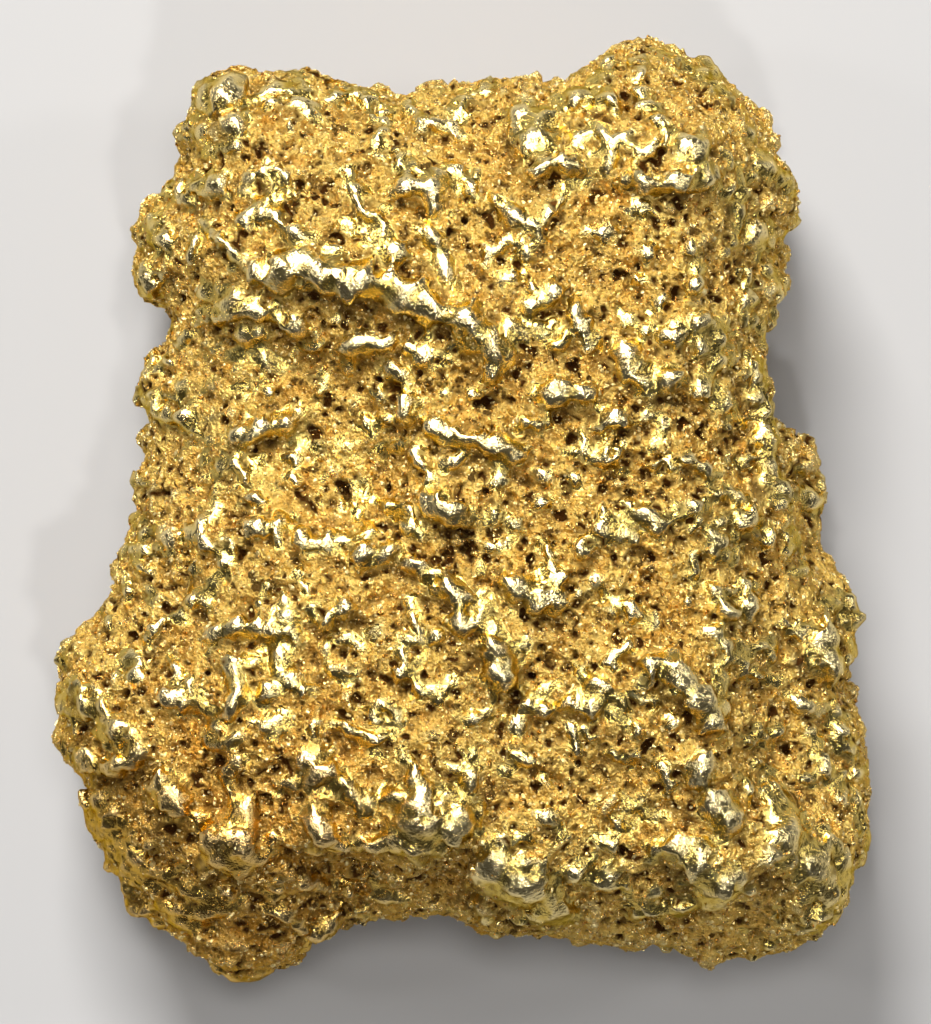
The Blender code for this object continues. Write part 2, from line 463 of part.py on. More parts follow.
def inside(places, edge):
    """How far each place lies inside a closed edge in plan, negative outside it."""
    ring = np.array(edge, float)
    within = np.zeros(len(places), bool)
    x, y = places[:, 0], places[:, 1]
    for (ax, ay), (bx, by) in zip(ring, np.roll(ring, -1, axis=0)):
        if ay != by:
            crosses = (ay > y) != (by > y)
            within ^= crosses & (x < (bx - ax) * (y - ay) / (by - ay) + ax)
    _, distance = nearest(places[:, :2], smooth_line(edge, OUTLINE_STEP, closed=True))
    return np.where(within, distance, -distance)


def noise_at(places, size, octaves, seed):
    """Fractal noise from about -1 to 1, its largest features about one size across."""
    shift = Vector((seed * 7.3, seed * 3.1, seed * 5.7))
    scale = 1.0 / size
    values = (noise.fractal(Vector(p) * scale + shift, 0.8, 2.0, octaves) for p in places)
    return np.fromiter(values, float, len(places))


def front_height(places):
    """The front's height above the seam, blended from the heights around each place."""
    known = np.array(FRONT_HEIGHTS)
    square = ((places[:, None, :2] - known[None, :, :2]) ** 2).sum(axis=2)
    weight = np.exp(-square / (2 * HEIGHT_REACH**2)) / (square + HEIGHT_BLEND) ** 2
    return (weight * known[:, 2]).sum(axis=1) / weight.sum(axis=1)


def pillow(nugget):
    """Rounds the slab's rim to a quarter ellipse and gives its faces their heights."""
    places = vertices_of(nugget.data)
    edge = smooth_line(OUTLINE, OUTLINE_STEP, closed=True)
    index, inset = nearest(places[:, :2], edge)
    ahead = np.roll(edge, -2, axis=0) - np.roll(edge, 2, axis=0)
    inward = np.column_stack([ahead[:, 1], -ahead[:, 0]])
    inward /= np.linalg.norm(inward, axis=1)[:, None]
    level = np.clip(np.abs(places[:, 2]) / SLAB_HALF_THICKNESS, 0, 1)
    on_wall = (inset < WALL_DEPTH) & (level < WALL_TOP)
    travelled = np.where(on_wall, level * SLAB_HALF_THICKNESS, SLAB_HALF_THICKNESS + inset)
    whole_way = SLAB_HALF_THICKNESS + RIM_RADIUS
    angle = np.clip(travelled / whole_way, 0, 1) * math.pi / 2
    rounded = RIM_RADIUS * (1 - np.cos(angle)) + RIM_RELIEF * (1 - np.sin(angle))
    moved_in = np.where(inset < RIM_RADIUS, rounded - inset, 0.0)
    moved_in = np.where(on_wall, rounded, moved_in)
    places[:, :2] += inward[index] * moved_in[:, None]
    height = np.where(places[:, 2] > 0, front_height(places), -BACK_DEPTH)
    places[:, 2] = height * np.sin(angle)
    move_vertices(nugget.data, places)


def lower_terraces(nugget):
    """Lowers some parts of the front, each behind a ledge that wanders a little."""
    places = vertices_of(nugget.data)
    front = np.flatnonzero(places[:, 2] > 0)
    wander = [noise_at(places[front], LEDGE_SIZE, 2, seed) * LEDGE_WANDER for seed in LEDGE_SEEDS]
    shifted = places[front][:, :2] + np.column_stack(wander)
    rim_share = np.clip(places[front, 2] / RIM_HEIGHT, 0, 1)
    for drop, slope, edge in TERRACES:
        share = np.clip(0.5 + inside(shifted, edge) / slope, 0, 1)
        places[front, 2] -= share**2 * (3 - 2 * share) * rim_share * drop
    move_vertices(nugget.data, places)


def raise_swells(nugget):
    """Broad swells over the whole nugget, weakest on the front and strongest on the back."""
    places = vertices_of(nugget.data)
    normals = normals_of(nugget.data)
    upward = normals[:, 2]
    swell = noise_at(places, SWELL_SIZE, 3, SWELL_SEED) * SWELL_HEIGHT
    swell *= np.select([upward > FACES_UP, upward < 0], [SWELL_ON_FRONT, SWELL_ON_BACK], 1.0)
    move_vertices(nugget.data, places + normals * swell[:, None])


def raise_flow(nugget):
    """Low ridges that run with the grain of the front, down to the right."""
    places = vertices_of(nugget.data)
    along = places[:, 0] * math.cos(FLOW_TURN) + places[:, 1] * math.sin(FLOW_TURN)
    across = places[:, 1] * math.cos(FLOW_TURN) - places[:, 0] * math.sin(FLOW_TURN)
    turned = np.column_stack([along, across, places[:, 2]]) / np.array(FLOW_SIZE)
    ridges = 1 - 2 * np.abs(noise_at(turned, 1.0, 3, FLOW_SEED))
    normals = normals_of(nugget.data)
    move_vertices(nugget.data, places + normals * (ridges * FLOW_HEIGHT)[:, None])


def on_front(places, normals):
    """The indices of the places that belong to the front."""
    return np.flatnonzero((normals[:, 2] > LEAST_FACING) & (places[:, 2] > 0))


def crest_shares(places, line, width):
    """The places near a crest, and how much of the crest and of its broad base each one gets."""
    reach = width * BASE_WIDTH
    low = line.min(axis=0) - reach
    high = line.max(axis=0) + reach
    near = np.flatnonzero(((places > low) & (places < high)).all(axis=1))
    if not len(near):
        return near, np.zeros(0), np.zeros(0)
    index, distance = nearest(places[near], line)
    along = index / max(1, len(line) - 1)
    taper = np.maximum(LEAST_TAPER, (1 - np.abs(2 * along - 1) ** 4) ** 0.5)
    downhill = places[near, 1] < line[index, 1]
    half = width * np.where(downhill, CREST_DOWNHILL, CREST_UPHILL)
    off = np.clip(distance / half, 0, 1)
    steep = CREST_ROUNDNESS * (1 - off**2) + (1 - CREST_ROUNDNESS) * (1 - off)
    gentle = 0.5 + 0.5 * np.cos(math.pi * off)
    wide = np.clip(distance / (reach * np.where(downhill, BASE_DOWNHILL, 1.0)), 0, 1)
    return near, taper * np.where(downhill, steep, gentle), taper * (1 - wide**2) ** 2


def raise_crests(nugget, strays):
    """Raises the drawn crests on their bases on the front, and the stray ridges round it."""
    places = vertices_of(nugget.data)
    normals = normals_of(nugget.data)
    lift = np.zeros(len(places))
    base = np.zeros(len(places))
    front = on_front(places, normals)
    seen = places[front][:, :2]
    for width, height, points in FRONT_CRESTS:
        near, crest, shoulder = crest_shares(seen, smooth_line(points, CREST_STEP), width)
        near = front[near]
        lift[near] = np.maximum(lift[near], crest * height * CREST_GAIN)
        base[near] = np.maximum(base[near], shoulder * height * BASE_HEIGHT)
    for width, height, line in strays:
        near, crest, _ = crest_shares(places, line, width)
        lift[near] = np.maximum(lift[near], crest * height * CREST_GAIN)
    way = normals + np.array([0.0, -CREST_LEAN, 0.0])
    way /= np.linalg.norm(way, axis=1)[:, None]
    move_vertices(nugget.data, places + way * (lift + base)[:, None])


def stray_ridges(nugget):
    """Ridges that wander over the sides and the back, as (width, height, line)."""
    maker = random.Random(SEED + 1)
    faces = [tuple(face.vertices) for face in nugget.data.polygons]
    tree = BVHTree.FromPolygons(vertices_of(nugget.data).tolist(), faces)
    ridges = []
    while len(ridges) < STRAY_RIDGES:
        start = Vector([maker.uniform(-spread, spread) for spread in STRAY_SPREAD])
        at, normal, _, _ = tree.find_nearest(start)
        if normal.z > FRONT_FACING:
            continue
        way = normal.cross(Vector((maker.gauss(0, 1), maker.gauss(0, 1), maker.gauss(0, 1))))
        line = [tuple(at)]
        for _ in range(maker.randrange(*STRAY_POINTS)):
            way.rotate(Quaternion(normal, maker.gauss(0, STRAY_TURN)))
            found, normal, _, _ = tree.find_nearest(at + way.normalized() * STRAY_STEP)
            way = found - at
            at = found
            line.append(tuple(at))
        thinnest, thickest = STRAY_WIDTH
        width = thinnest + (thickest - thinnest) * maker.random() ** STRAY_SLENDERNESS
        height = width * maker.uniform(*STRAY_HEIGHT_TO_WIDTH)
        ridges.append((width, height, np.array(line)))
    return [ridge for ridge in ridges if ridge[0] >= STRAY_LEAST_WIDTH]


def sink_pits(nugget, maker):
    """Sinks the drawn pits of the front and stray ones all over, each straight into the nugget."""
    places = vertices_of(nugget.data)
    normals = normals_of(nugget.data)
    ragged = [noise_at(places, RAGGED_SIZE, 3, seed) * RAGGEDNESS for seed in RAGGED_SEEDS]
    shifted = places + np.column_stack(ragged)
    everywhere = np.arange(len(places))
    front = on_front(places, normals)
    holes = [(front, np.array([x, y]), radius) for x, y, radius in PITS]
    for _ in range(STRAY_PITS):
        centre = places[maker.randrange(len(places))]
        holes.append((everywhere, centre, maker.uniform(*STRAY_PIT_RADIUS)))
    depth = np.zeros(len(places))
    way = np.zeros_like(places)
    for among, centre, radius in holes:
        off = np.linalg.norm(shifted[among][:, : len(centre)] - centre, axis=1) / radius
        near = among[off < 1]
        if not len(near):
            continue
        bowl = PIT_DEPTH * radius * np.sqrt(1 - off[off < 1] ** 2)
        axis = normals[near].mean(axis=0)
        deeper = near[bowl > depth[near]]
        way[deeper] = axis / np.linalg.norm(axis)
        depth[near] = np.maximum(depth[near], bowl)
    move_vertices(nugget.data, places - way * depth[:, None])


def roughen(nugget):
    """Small knobbly grain all over."""
    places = vertices_of(nugget.data)
    grain = noise_at(places, GROUND_SIZE, 3, GROUND_SEED) * GROUND_HEIGHT
    move_vertices(nugget.data, places + normals_of(nugget.data) * grain[:, None])


def keep_largest_body(mesh):
    """Leaves out any crumb that came loose from the nugget."""
    body = bmesh.new()
    body.from_mesh(mesh)
    left = set(body.verts)
    groups = []
    while left:
        group = set()
        stack = [left.pop()]
        while stack:
            vertex = stack.pop()
            group.add(vertex)
            for edge in vertex.link_edges:
                other = edge.other_vert(vertex)
                if other in left:
                    left.remove(other)
                    stack.append(other)
        groups.append(group)
    groups.sort(key=len)
    for group in groups[:-1]:
        bmesh.ops.delete(body, geom=list(group), context="VERTS")
    body.to_mesh(mesh)
    body.free()


def reduce(nugget):
    """Brings the surface down to its triangles, with more of them left on the front."""
    mesh = nugget.data
    seen = (normals_of(mesh)[:, 2] > KEPT_FACING) & (vertices_of(mesh)[:, 2] > KEPT_ABOVE)
    group = nugget.vertex_groups.new(name="thin")
    group.add(np.flatnonzero(seen).tolist(), KEPT_THINNING, "REPLACE")
    group.add(np.flatnonzero(~seen).tolist(), 1.0, "REPLACE")
    mesh.calc_loop_triangles()
    with_modifier(
        nugget,
        "DECIMATE",
        decimate_type="COLLAPSE",
        ratio=TRIANGLES / len(mesh.loop_triangles),
        use_collapse_triangulate=True,
        vertex_group=group.name,
        vertex_group_factor=THINNING_FACTOR,
    )
    nugget.vertex_groups.clear()


def wear_flat(mesh, height):
    """Levels everything within this height of the lowest point, as where the nugget was worn."""
    places = vertices_of(mesh)
    places[:, 2] = np.maximum(places[:, 2], places[:, 2].min() + height)
    move_vertices(mesh, places)


def settle_in_place(mesh):
    """Sets the origin under the middle of the nugget's box, and makes millimetres metres."""
    places = vertices_of(mesh)
    low = places.min(axis=0)
    middle = (low + places.max(axis=0)) / 2
    places -= np.array([middle[0], middle[1], low[2]])
    move_vertices(mesh, places * METRES_PER_MM)


def build():
    clear_scene()
    drawn = outline_slab(collection_named("guides"))
    nugget = bpy.data.objects.new("nugget", evaluated_mesh(drawn))
    collection_named("gold_nugget").objects.link(nugget)
    remesh(nugget, BLANK_VOXEL)
    pillow(nugget)
    with_modifier(nugget, "SMOOTH", factor=SMOOTHING, iterations=SMOOTHING_ROUNDS)
    remesh(nugget, SURFACE_VOXEL)
    lower_terraces(nugget)
    raise_swells(nugget)
    raise_flow(nugget)
    raise_crests(nugget, stray_ridges(nugget))
    sink_pits(nugget, random.Random(SEED))
    roughen(nugget)
    wear_flat(nugget.data, WORN_OFF)
    remesh(nugget, SURFACE_VOXEL)
    keep_largest_body(nugget.data)
    reduce(nugget)
    wear_flat(nugget.data, FLAT_SLACK)
    settle_in_place(nugget.data)
    nugget.data.materials.clear()
    nugget.data.materials.append(gold_material())
    nugget.data.name = "nugget"


if __name__ == "__main__":
    build()
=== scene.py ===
"""A native gold nugget lying on its back, with its fine surface, its finish and a plain studio.

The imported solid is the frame: the fine nugget is carved afresh from the same outline, heights,
crests and pits, is set to the solid's box and stands in for it. It is carved in millimetres and
made metres at the end. Crumbs of the spongy ground are loose-looking grains, half sunk in it.
+X is the nugget's right, +Y its top end, and +Z the way its front faces, which is up.
"""

import logging
import math
import random
from dataclasses import dataclass, field
from enum import Enum
from typing import Sequence

import bmesh
import bpy
import numpy as np
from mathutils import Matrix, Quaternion, Vector, kdtree, noise
from mathutils.bvhtree import BVHTree


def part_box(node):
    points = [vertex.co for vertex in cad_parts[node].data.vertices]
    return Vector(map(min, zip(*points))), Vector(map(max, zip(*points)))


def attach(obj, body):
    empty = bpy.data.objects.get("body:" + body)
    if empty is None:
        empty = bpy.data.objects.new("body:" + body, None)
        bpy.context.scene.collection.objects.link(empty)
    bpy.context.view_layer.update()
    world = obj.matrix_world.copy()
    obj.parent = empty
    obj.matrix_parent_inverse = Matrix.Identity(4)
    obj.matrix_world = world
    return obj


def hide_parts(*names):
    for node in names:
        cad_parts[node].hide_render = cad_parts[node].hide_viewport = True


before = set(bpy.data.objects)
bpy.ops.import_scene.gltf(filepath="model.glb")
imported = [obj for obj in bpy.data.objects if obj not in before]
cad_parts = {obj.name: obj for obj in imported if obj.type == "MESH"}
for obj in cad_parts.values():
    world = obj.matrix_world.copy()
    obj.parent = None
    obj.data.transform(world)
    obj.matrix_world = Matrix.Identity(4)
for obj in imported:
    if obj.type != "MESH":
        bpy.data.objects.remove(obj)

log = logging.getLogger("gold_nugget")

METRES_PER_MM = 0.001
SEED = 2354

# Two numbers, three numbers, and a colour with its alpha.
Pair = tuple[float, float]
Triple = tuple[float, float, float]
Colour = tuple[float, float, float, float]

# How distances, noise and edges are worked out.
EDGE_STEP = 0.1
PLACES_AT_ONCE = 4000
SEED_SHIFT = (7.3, 3.1, 5.7)
NOISE_FADE = 0.8
NOISE_FINER = 2.0
CRUMB_STEEPNESS = 1.5
EVENING = 0.6

# The edge of the nugget seen from the front, in mm, clockwise from its top left knob.
OUTLINE = (
    (-6.15, 10.6), (-5.85, 10.85), (-5.45, 10.8), (-5.1, 10.75), (-4.85, 10.9), (-4.35, 11),
    (-3.95, 10.9), (-3.45, 10.7), (-2.95, 10.5), (-2.55, 10.35), (-1.65, 10.3), (-1.2, 10.45),
    (-0.85, 10.6), (-0.15, 10.4), (0.4, 10.6), (0.8, 10.5), (1.15, 10.7), (1.35, 10.9), (1.7, 10.9),
    (2.05, 10.6), (2.35, 10.5), (2.75, 10.75), (3, 11.1), (3.4, 11.4), (3.95, 11.65), (4.4, 11.75),
    (4.85, 11.65), (5.4, 11.3), (6.15, 10.9), (6.65, 10.45), (7.1, 10.15), (7.35, 9.8), (7.6, 9.25),
    (7.85, 8.75), (8.15, 8.3), (8.25, 7.95), (8.3, 7.55), (8.1, 7.25), (7.85, 6.9), (7.85, 6.4),
    (8, 5.75), (7.9, 5.3), (7.6, 4.85), (7.55, 4.4), (7.35, 3.8), (7.5, 3.1), (7.55, 2.4), (7.65, 1.9),
    (8, 1.7), (8.4, 1.7), (8.65, 1.35), (8.8, 0.75), (8.7, 0.2), (8.75, -0.4), (8.6, -1.1),
    (8.85, -1.4), (9.45, -1.6), (9.75, -2), (9.95, -2.55), (9.8, -3.1), (9.8, -3.75), (9.6, -4.2),
    (9.75, -4.7), (10.05, -5.2), (10.2, -5.5), (10.1, -6.1), (10.25, -6.75), (10.35, -7.55),
    (10.2, -8.25), (9.9, -8.9), (9.6, -9.45), (9.4, -10.1), (9, -10.5), (8.5, -10.9), (8.1, -11.25),
    (7.5, -11.3), (7.2, -11.4), (6.85, -11.35), (6.45, -11.7), (6, -11.7), (5.7, -11.3), (4.9, -11),
    (4.05, -11), (3.55, -11), (2.8, -10.8), (1.9, -10.7), (1.3, -10.9), (0.55, -10.9), (0.05, -10.6),
    (-0.85, -10.4), (-1.85, -10.4), (-2.8, -10.55), (-3.35, -10.85), (-4.15, -11.1), (-4.35, -11.6),
    (-4.95, -11.7), (-5.5, -11.65), (-5.95, -11.75), (-6.4, -11.4), (-7, -10.9), (-7.65, -10.45),
    (-8.1, -9.8), (-8.6, -9.3), (-8.95, -8.95), (-9.2, -8.2), (-9.5, -7.3), (-9.75, -6.6),
    (-10.05, -6.1), (-10.1, -5.3), (-10.35, -4.7), (-10.3, -4.1), (-10.15, -3.45), (-10, -3.1),
    (-9.45, -2.75), (-9.05, -2.6), (-8.7, -2.1), (-8.65, -1.5), (-8.55, -1), (-8.35, -0.65),
    (-8.1, -0.2), (-8.15, 0.75), (-7.95, 1.5), (-7.85, 2.25), (-8.05, 2.9), (-7.9, 3.45), (-7.6, 4.1),
    (-7.4, 4.75), (-7.4, 5.25), (-7.85, 5.5), (-8.15, 5.75), (-8.2, 6.1), (-8, 6.3), (-8, 7.2),
    (-7.75, 7.55), (-7.25, 7.8), (-7.15, 8.2), (-6.75, 8.55), (-7.1, 9.05), (-7.1, 9.5), (-6.95, 9.8),
    (-6.9, 10.2), (-6.6, 10.5),
)

# Where the front stands high or low, in mm: (x, y, height above the seam).
FRONT_HEIGHTS = (
    (-6.0, 10.1, 3.5), (-5.2, 8.8, 4.0), (-7.7, 7.0, 2.6), (-7.9, 6.0, 2.5), (-3.2, 9.4, 4.0),
    (0.2, 9.6, 3.9), (2.6, 9.0, 4.3), (4.4, 10.6, 3.7), (5.2, 9.0, 4.6), (7.4, 8.0, 3.2),
    (7.5, 5.9, 3.4), (5.2, 6.6, 4.5), (2.2, 6.4, 4.6), (-0.9, 7.0, 4.6), (-3.6, 6.2, 4.7),
    (-5.6, 6.0, 4.3), (-6.9, 5.0, 3.5), (-5.0, 4.0, 3.8), (-5.3, 1.8, 3.6), (-7.4, 2.6, 3.2),
    (-7.4, 0.2, 3.1), (-5.2, -0.8, 3.9), (-2.4, 3.6, 4.2), (-2.8, 1.0, 4.1), (0.4, 3.6, 4.8),
    (0.2, 0.4, 4.8), (3.2, 2.2, 4.8), (6.0, 3.8, 4.6), (7.3, 2.0, 4.2), (7.6, -0.2, 3.7),
    (8.4, 0.4, 1.5), (5.4, -0.2, 4.6), (2.8, -1.8, 4.8), (-1.2, -2.2, 4.7), (-4.4, -2.2, 4.5),
    (-7.6, -2.0, 3.2), (-5.4, -3.6, 3.9), (-8.8, -3.4, 2.7), (-9.4, -5.0, 2.7), (-7.6, -5.2, 3.5),
    (-9.0, -7.4, 2.3), (-7.0, -7.6, 3.4), (-5.4, -8.2, 3.9), (-4.4, -5.6, 4.5), (-3.4, -7.6, 4.7),
    (-1.2, -7.9, 4.6), (-2.8, -9.3, 2.5), (-5.6, -10.2, 2.2), (-7.4, -9.4, 2.2), (-0.6, -9.8, 2.2),
    (-1.2, -5.2, 4.7), (1.8, -5.4, 4.7), (1.8, -8.0, 4.5), (2.0, -9.6, 3.3), (4.4, -4.4, 4.9),
    (5.8, -6.0, 4.6), (4.6, -8.4, 4.2), (6.6, -8.6, 4.1), (5.2, -10.0, 3.0), (7.0, -10.8, 2.2),
    (7.9, -6.2, 2.8), (9.6, -6.6, 2.2), (8.8, -9.1, 3.1), (9.0, -3.4, 2.2), (9.5, -2.6, 1.4),
    (7.6, -2.2, 3.4), (8.6, -4.4, 3.0), (6.2, -2.8, 4.4), (4.6, 1.0, 4.7), (1.4, -9.0, 4.1),
)

# Crests on the front, in mm: (width, height, the line of the crest).
UPPER_LEFT_CRESTS = (
    (0.85, 0.42, ((-6.5, 10.1), (-6.05, 10.25), (-5.5, 10.1))),
    (0.45, 0.24, ((-5.35, 10), (-4.85, 10.2), (-4.35, 10.25), (-3.95, 10), (-3.7, 9.6))),
    (0.55, 0.28, ((-6.8, 9.7), (-6.8, 9.25))),
    (0.25, 0.14, ((-6.5, 8.8), (-5.95, 8.95), (-5.4, 9))),
    (0.55, 0.36, ((-7, 7.8), (-6.6, 7.95), (-6.2, 8.1), (-5.75, 8.1))),
    (0.33, 0.22, ((-5.4, 8.15), (-5, 8.3), (-4.65, 8.45), (-4.45, 8.2), (-4.3, 7.95))),
    (0.45, 0.28, ((-7.8, 7.35), (-7.65, 7.1), (-7.4, 6.75), (-7.3, 6.4))),
    (0.6, 0.36, ((-8, 6.05), (-7.8, 5.85), (-7.55, 5.6))),
    (0.33, 0.22, (
        (-5.55, 6.9), (-5.35, 7.2), (-5, 7.3), (-4.65, 7.3), (-4.4, 7), (-4.05, 6.8), (-3.6, 6.6),
    )),
    (0.3, 0.2, ((-6.5, 7.2), (-6.2, 6.85), (-5.85, 6.5), (-5.5, 6.3))),
    (0.58, 0.46, (
        (-5.45, 6.2), (-5.15, 5.95), (-4.65, 5.85), (-4.2, 6), (-3.7, 6), (-3.2, 5.8), (-2.55, 5.65),
        (-2.1, 5.75), (-1.75, 5.6), (-1.25, 5.3), (-0.65, 5), (-0.05, 4.7), (0.45, 4.3), (0.9, 3.9),
        (0.75, 3.45), (0.95, 3.05),
    )),
    (0.3, 0.18, ((-6.55, 5.3), (-6.1, 5.45), (-5.65, 5.5))),
)
UPPER_CENTRE_CRESTS = (
    (0.38, 0.28, ((-3.5, 10.05), (-3.1, 10.25), (-2.7, 10.2), (-2.3, 10), (-1.9, 9.8))),
    (0.3, 0.2, ((-1.5, 10.2), (-1.3, 9.8), (-1.05, 9.6), (-0.75, 9.45), (-0.35, 9.4), (0, 9.2))),
    (0.33, 0.16, ((-2.15, 9), (-1.75, 8.75), (-1.45, 8.5), (-1.2, 8.2))),
    (0.25, 0.18, (
        (-2.8, 8.15), (-2.7, 7.75), (-2.55, 7.4), (-2.25, 7.2), (-1.95, 7), (-2.05, 6.65), (-2.35, 6.5),
    )),
    (0.35, 0.24, ((-1.9, 7.8), (-1.55, 7.85), (-1.15, 8), (-0.8, 7.9), (-0.75, 7.5), (-0.65, 7.2))),
    (0.3, 0.18, ((-0.55, 8.5), (-0.15, 8.3), (0.2, 8), (0.05, 7.6))),
    (0.33, 0.2, ((0.6, 7.8), (1, 7.45), (1.4, 7.15), (1.75, 6.95), (1.95, 6.6))),
    (0.5, 0.26, ((-1.85, 6.8), (-1.7, 6.4), (-1.4, 6.2))),
    (0.35, 0.24, ((-1.15, 7), (-0.8, 6.75), (-0.65, 6.45), (-0.55, 6.05), (-0.35, 5.7), (-0.2, 5.35))),
    (0.35, 0.32, ((1.55, 8.2), (1.9, 8.4), (2.3, 8.5), (2.6, 8.5), (2.9, 8.35))),
    (0.28, 0.18, ((2.7, 8.95), (2.95, 9.25), (3.3, 9.35), (3.55, 9.2), (3.45, 8.85), (3.05, 8.8))),
    (1.05, 0.22, ((1.2, 9.8), (1.65, 9.65), (2.05, 9.3), (2.4, 9.1))),
    (0.45, 0.24, ((2.4, 9.95), (2.9, 10.1), (3.4, 10.1), (3.95, 9.85))),
    (0.23, 0.16, ((1.55, 5.65), (1.75, 5.3))),
    (0.25, 0.14, ((3.5, 11), (3.7, 10.7))),
)
UPPER_RIGHT_CRESTS = (
    (0.28, 0.2, ((3.55, 8.25), (3.6, 8.6), (3.75, 9), (4.05, 9.15), (4.35, 8.9), (4.45, 8.6))),
    (0.45, 0.38, ((3.85, 8.1), (4.4, 8.2), (4.85, 8.15), (5.3, 8.2), (5.75, 8.3), (6.25, 8.3))),
    (0.25, 0.12, ((4.65, 11.5), (5.4, 11.2), (5.95, 10.85), (6.45, 10.4), (6.85, 10.25))),
    (0.38, 0.24, ((6.75, 8.35), (7.05, 8.3), (7.35, 8.5), (7.7, 8.45), (8.05, 8.15), (8.15, 7.75))),
    (0.65, 0.22, ((5.25, 8.85), (5.6, 9), (5.9, 8.7))),
    (0.28, 0.16, (
        (6.3, 8.9), (6.65, 8.6), (6.85, 8), (6.85, 7.5), (6.8, 7.1), (6.65, 6.6), (6.45, 6.25),
    )),
    (0.65, 0.24, ((6.95, 7), (7.35, 6.85), (7.6, 6.6))),
    (0.3, 0.16, ((6.95, 6.05), (6.95, 5.45))),
    (0.4, 0.2, ((5.55, 5.6), (5.8, 5.55))),
)
MIDDLE_LEFT_CRESTS = (
    (0.33, 0.2, ((-6.5, 5), (-6, 5), (-5.6, 5.25), (-5.25, 5.3))),
    (0.38, 0.26, (
        (-6.5, 4.75), (-6, 4.8), (-5.45, 5), (-4.85, 4.95), (-4.35, 4.75), (-4.05, 4.5), (-3.7, 4.35),
    )),
    (0.5, 0.36, ((-5.8, 1.7), (-5.35, 1.9), (-4.8, 2.1), (-4.35, 2.2), (-4.1, 2.6))),
    (0.25, 0.14, ((-6.6, 1.05), (-6.35, 1.4))),
    (0.2, 0.1, ((-6.25, 0.8), (-5.85, 1.25))),
    (0.2, 0.1, ((-5.6, 0.6), (-5.25, 1.15))),
    (0.28, 0.18, ((-7.8, 3.3), (-7.65, 3.5), (-7.25, 3.7))),
    (0.38, 0.22, ((-7.95, 3.05), (-7.75, 2.7), (-7.45, 2.4), (-7.05, 2.3), (-6.5, 2.25))),
    (0.3, 0.2, ((-4.15, -0.5), (-3.95, -0.9), (-3.55, -0.9), (-3.1, -0.6))),
    (0.35, 0.24, ((-5.5, -0.5), (-4.95, -0.55), (-4.4, -0.4))),
    (0.25, 0.2, ((-6.1, -0.35), (-6.45, -0.4), (-6.5, -0.75), (-6.45, -1.1))),
)
MIDDLE_CENTRE_CRESTS = (
    (0.35, 0.26, ((2.2, 5.7), (2.15, 5.3), (1.8, 5.1), (1.45, 4.9))),
    (0.43, 0.28, ((2.55, 5.25), (2.75, 4.95), (2.85, 4.55), (3.1, 4.2), (3.35, 4))),
    (0.38, 0.22, ((0.95, 4.7), (1.35, 4.5), (1.9, 4.5), (2.4, 4.7))),
    (0.5, 0.34, ((1.7, 2.8), (2.1, 2.85), (2.45, 2.95), (2.9, 2.9), (3.25, 2.7))),
    (0.6, 0.2, ((3.5, 1.5), (3.7, 1.1))),
    (0.55, 0.4, ((-1.25, 2.85), (-1.3, 2.55), (-1.1, 2.3))),
    (0.35, 0.34, (
        (-1.1, 2.3), (-0.75, 2.1), (-0.35, 1.85), (0, 1.7), (0.3, 1.7), (0.55, 1.5), (0.95, 1.5),
        (1.3, 1.3), (1.6, 1.15),
    )),
    (0.45, 0.3, ((-3.2, 3.9), (-2.75, 4.1), (-2.2, 4.15), (-1.6, 4.2))),
    (0.45, 0.26, ((-1.5, 4.1), (-1.2, 3.95), (-0.95, 3.8), (-0.8, 3.55))),
    (0.38, 0.22, ((-2, 3.55), (-1.6, 3.45), (-1.35, 3.2), (-1.25, 2.85))),
    (0.5, 0.36, ((-1, 0.3), (-0.6, 0.1), (-0.2, -0.1), (0.3, -0.25))),
    (0.4, 0.3, ((-2.75, -1.4), (-2.4, -1.15), (-2.05, -1.2), (-1.7, -1))),
    (0.4, 0.3, ((-1.55, -1.3), (-1.1, -1.4), (-0.75, -1.6), (-0.45, -1.95), (0, -2.2), (0.55, -2.2))),
    (0.45, 0.32, ((0.85, -1.65), (1.25, -1.95), (1.7, -2.15), (2.15, -2.3), (2.6, -2.3))),
    (0.3, 0.2, ((2.25, -1.35), (2.25, -2))),
    (0.4, 0.26, ((3.35, -0.9), (3.45, -0.45), (3.8, -0.2))),
    (0.38, 0.2, ((2.7, -0.9), (3.2, -1))),
)
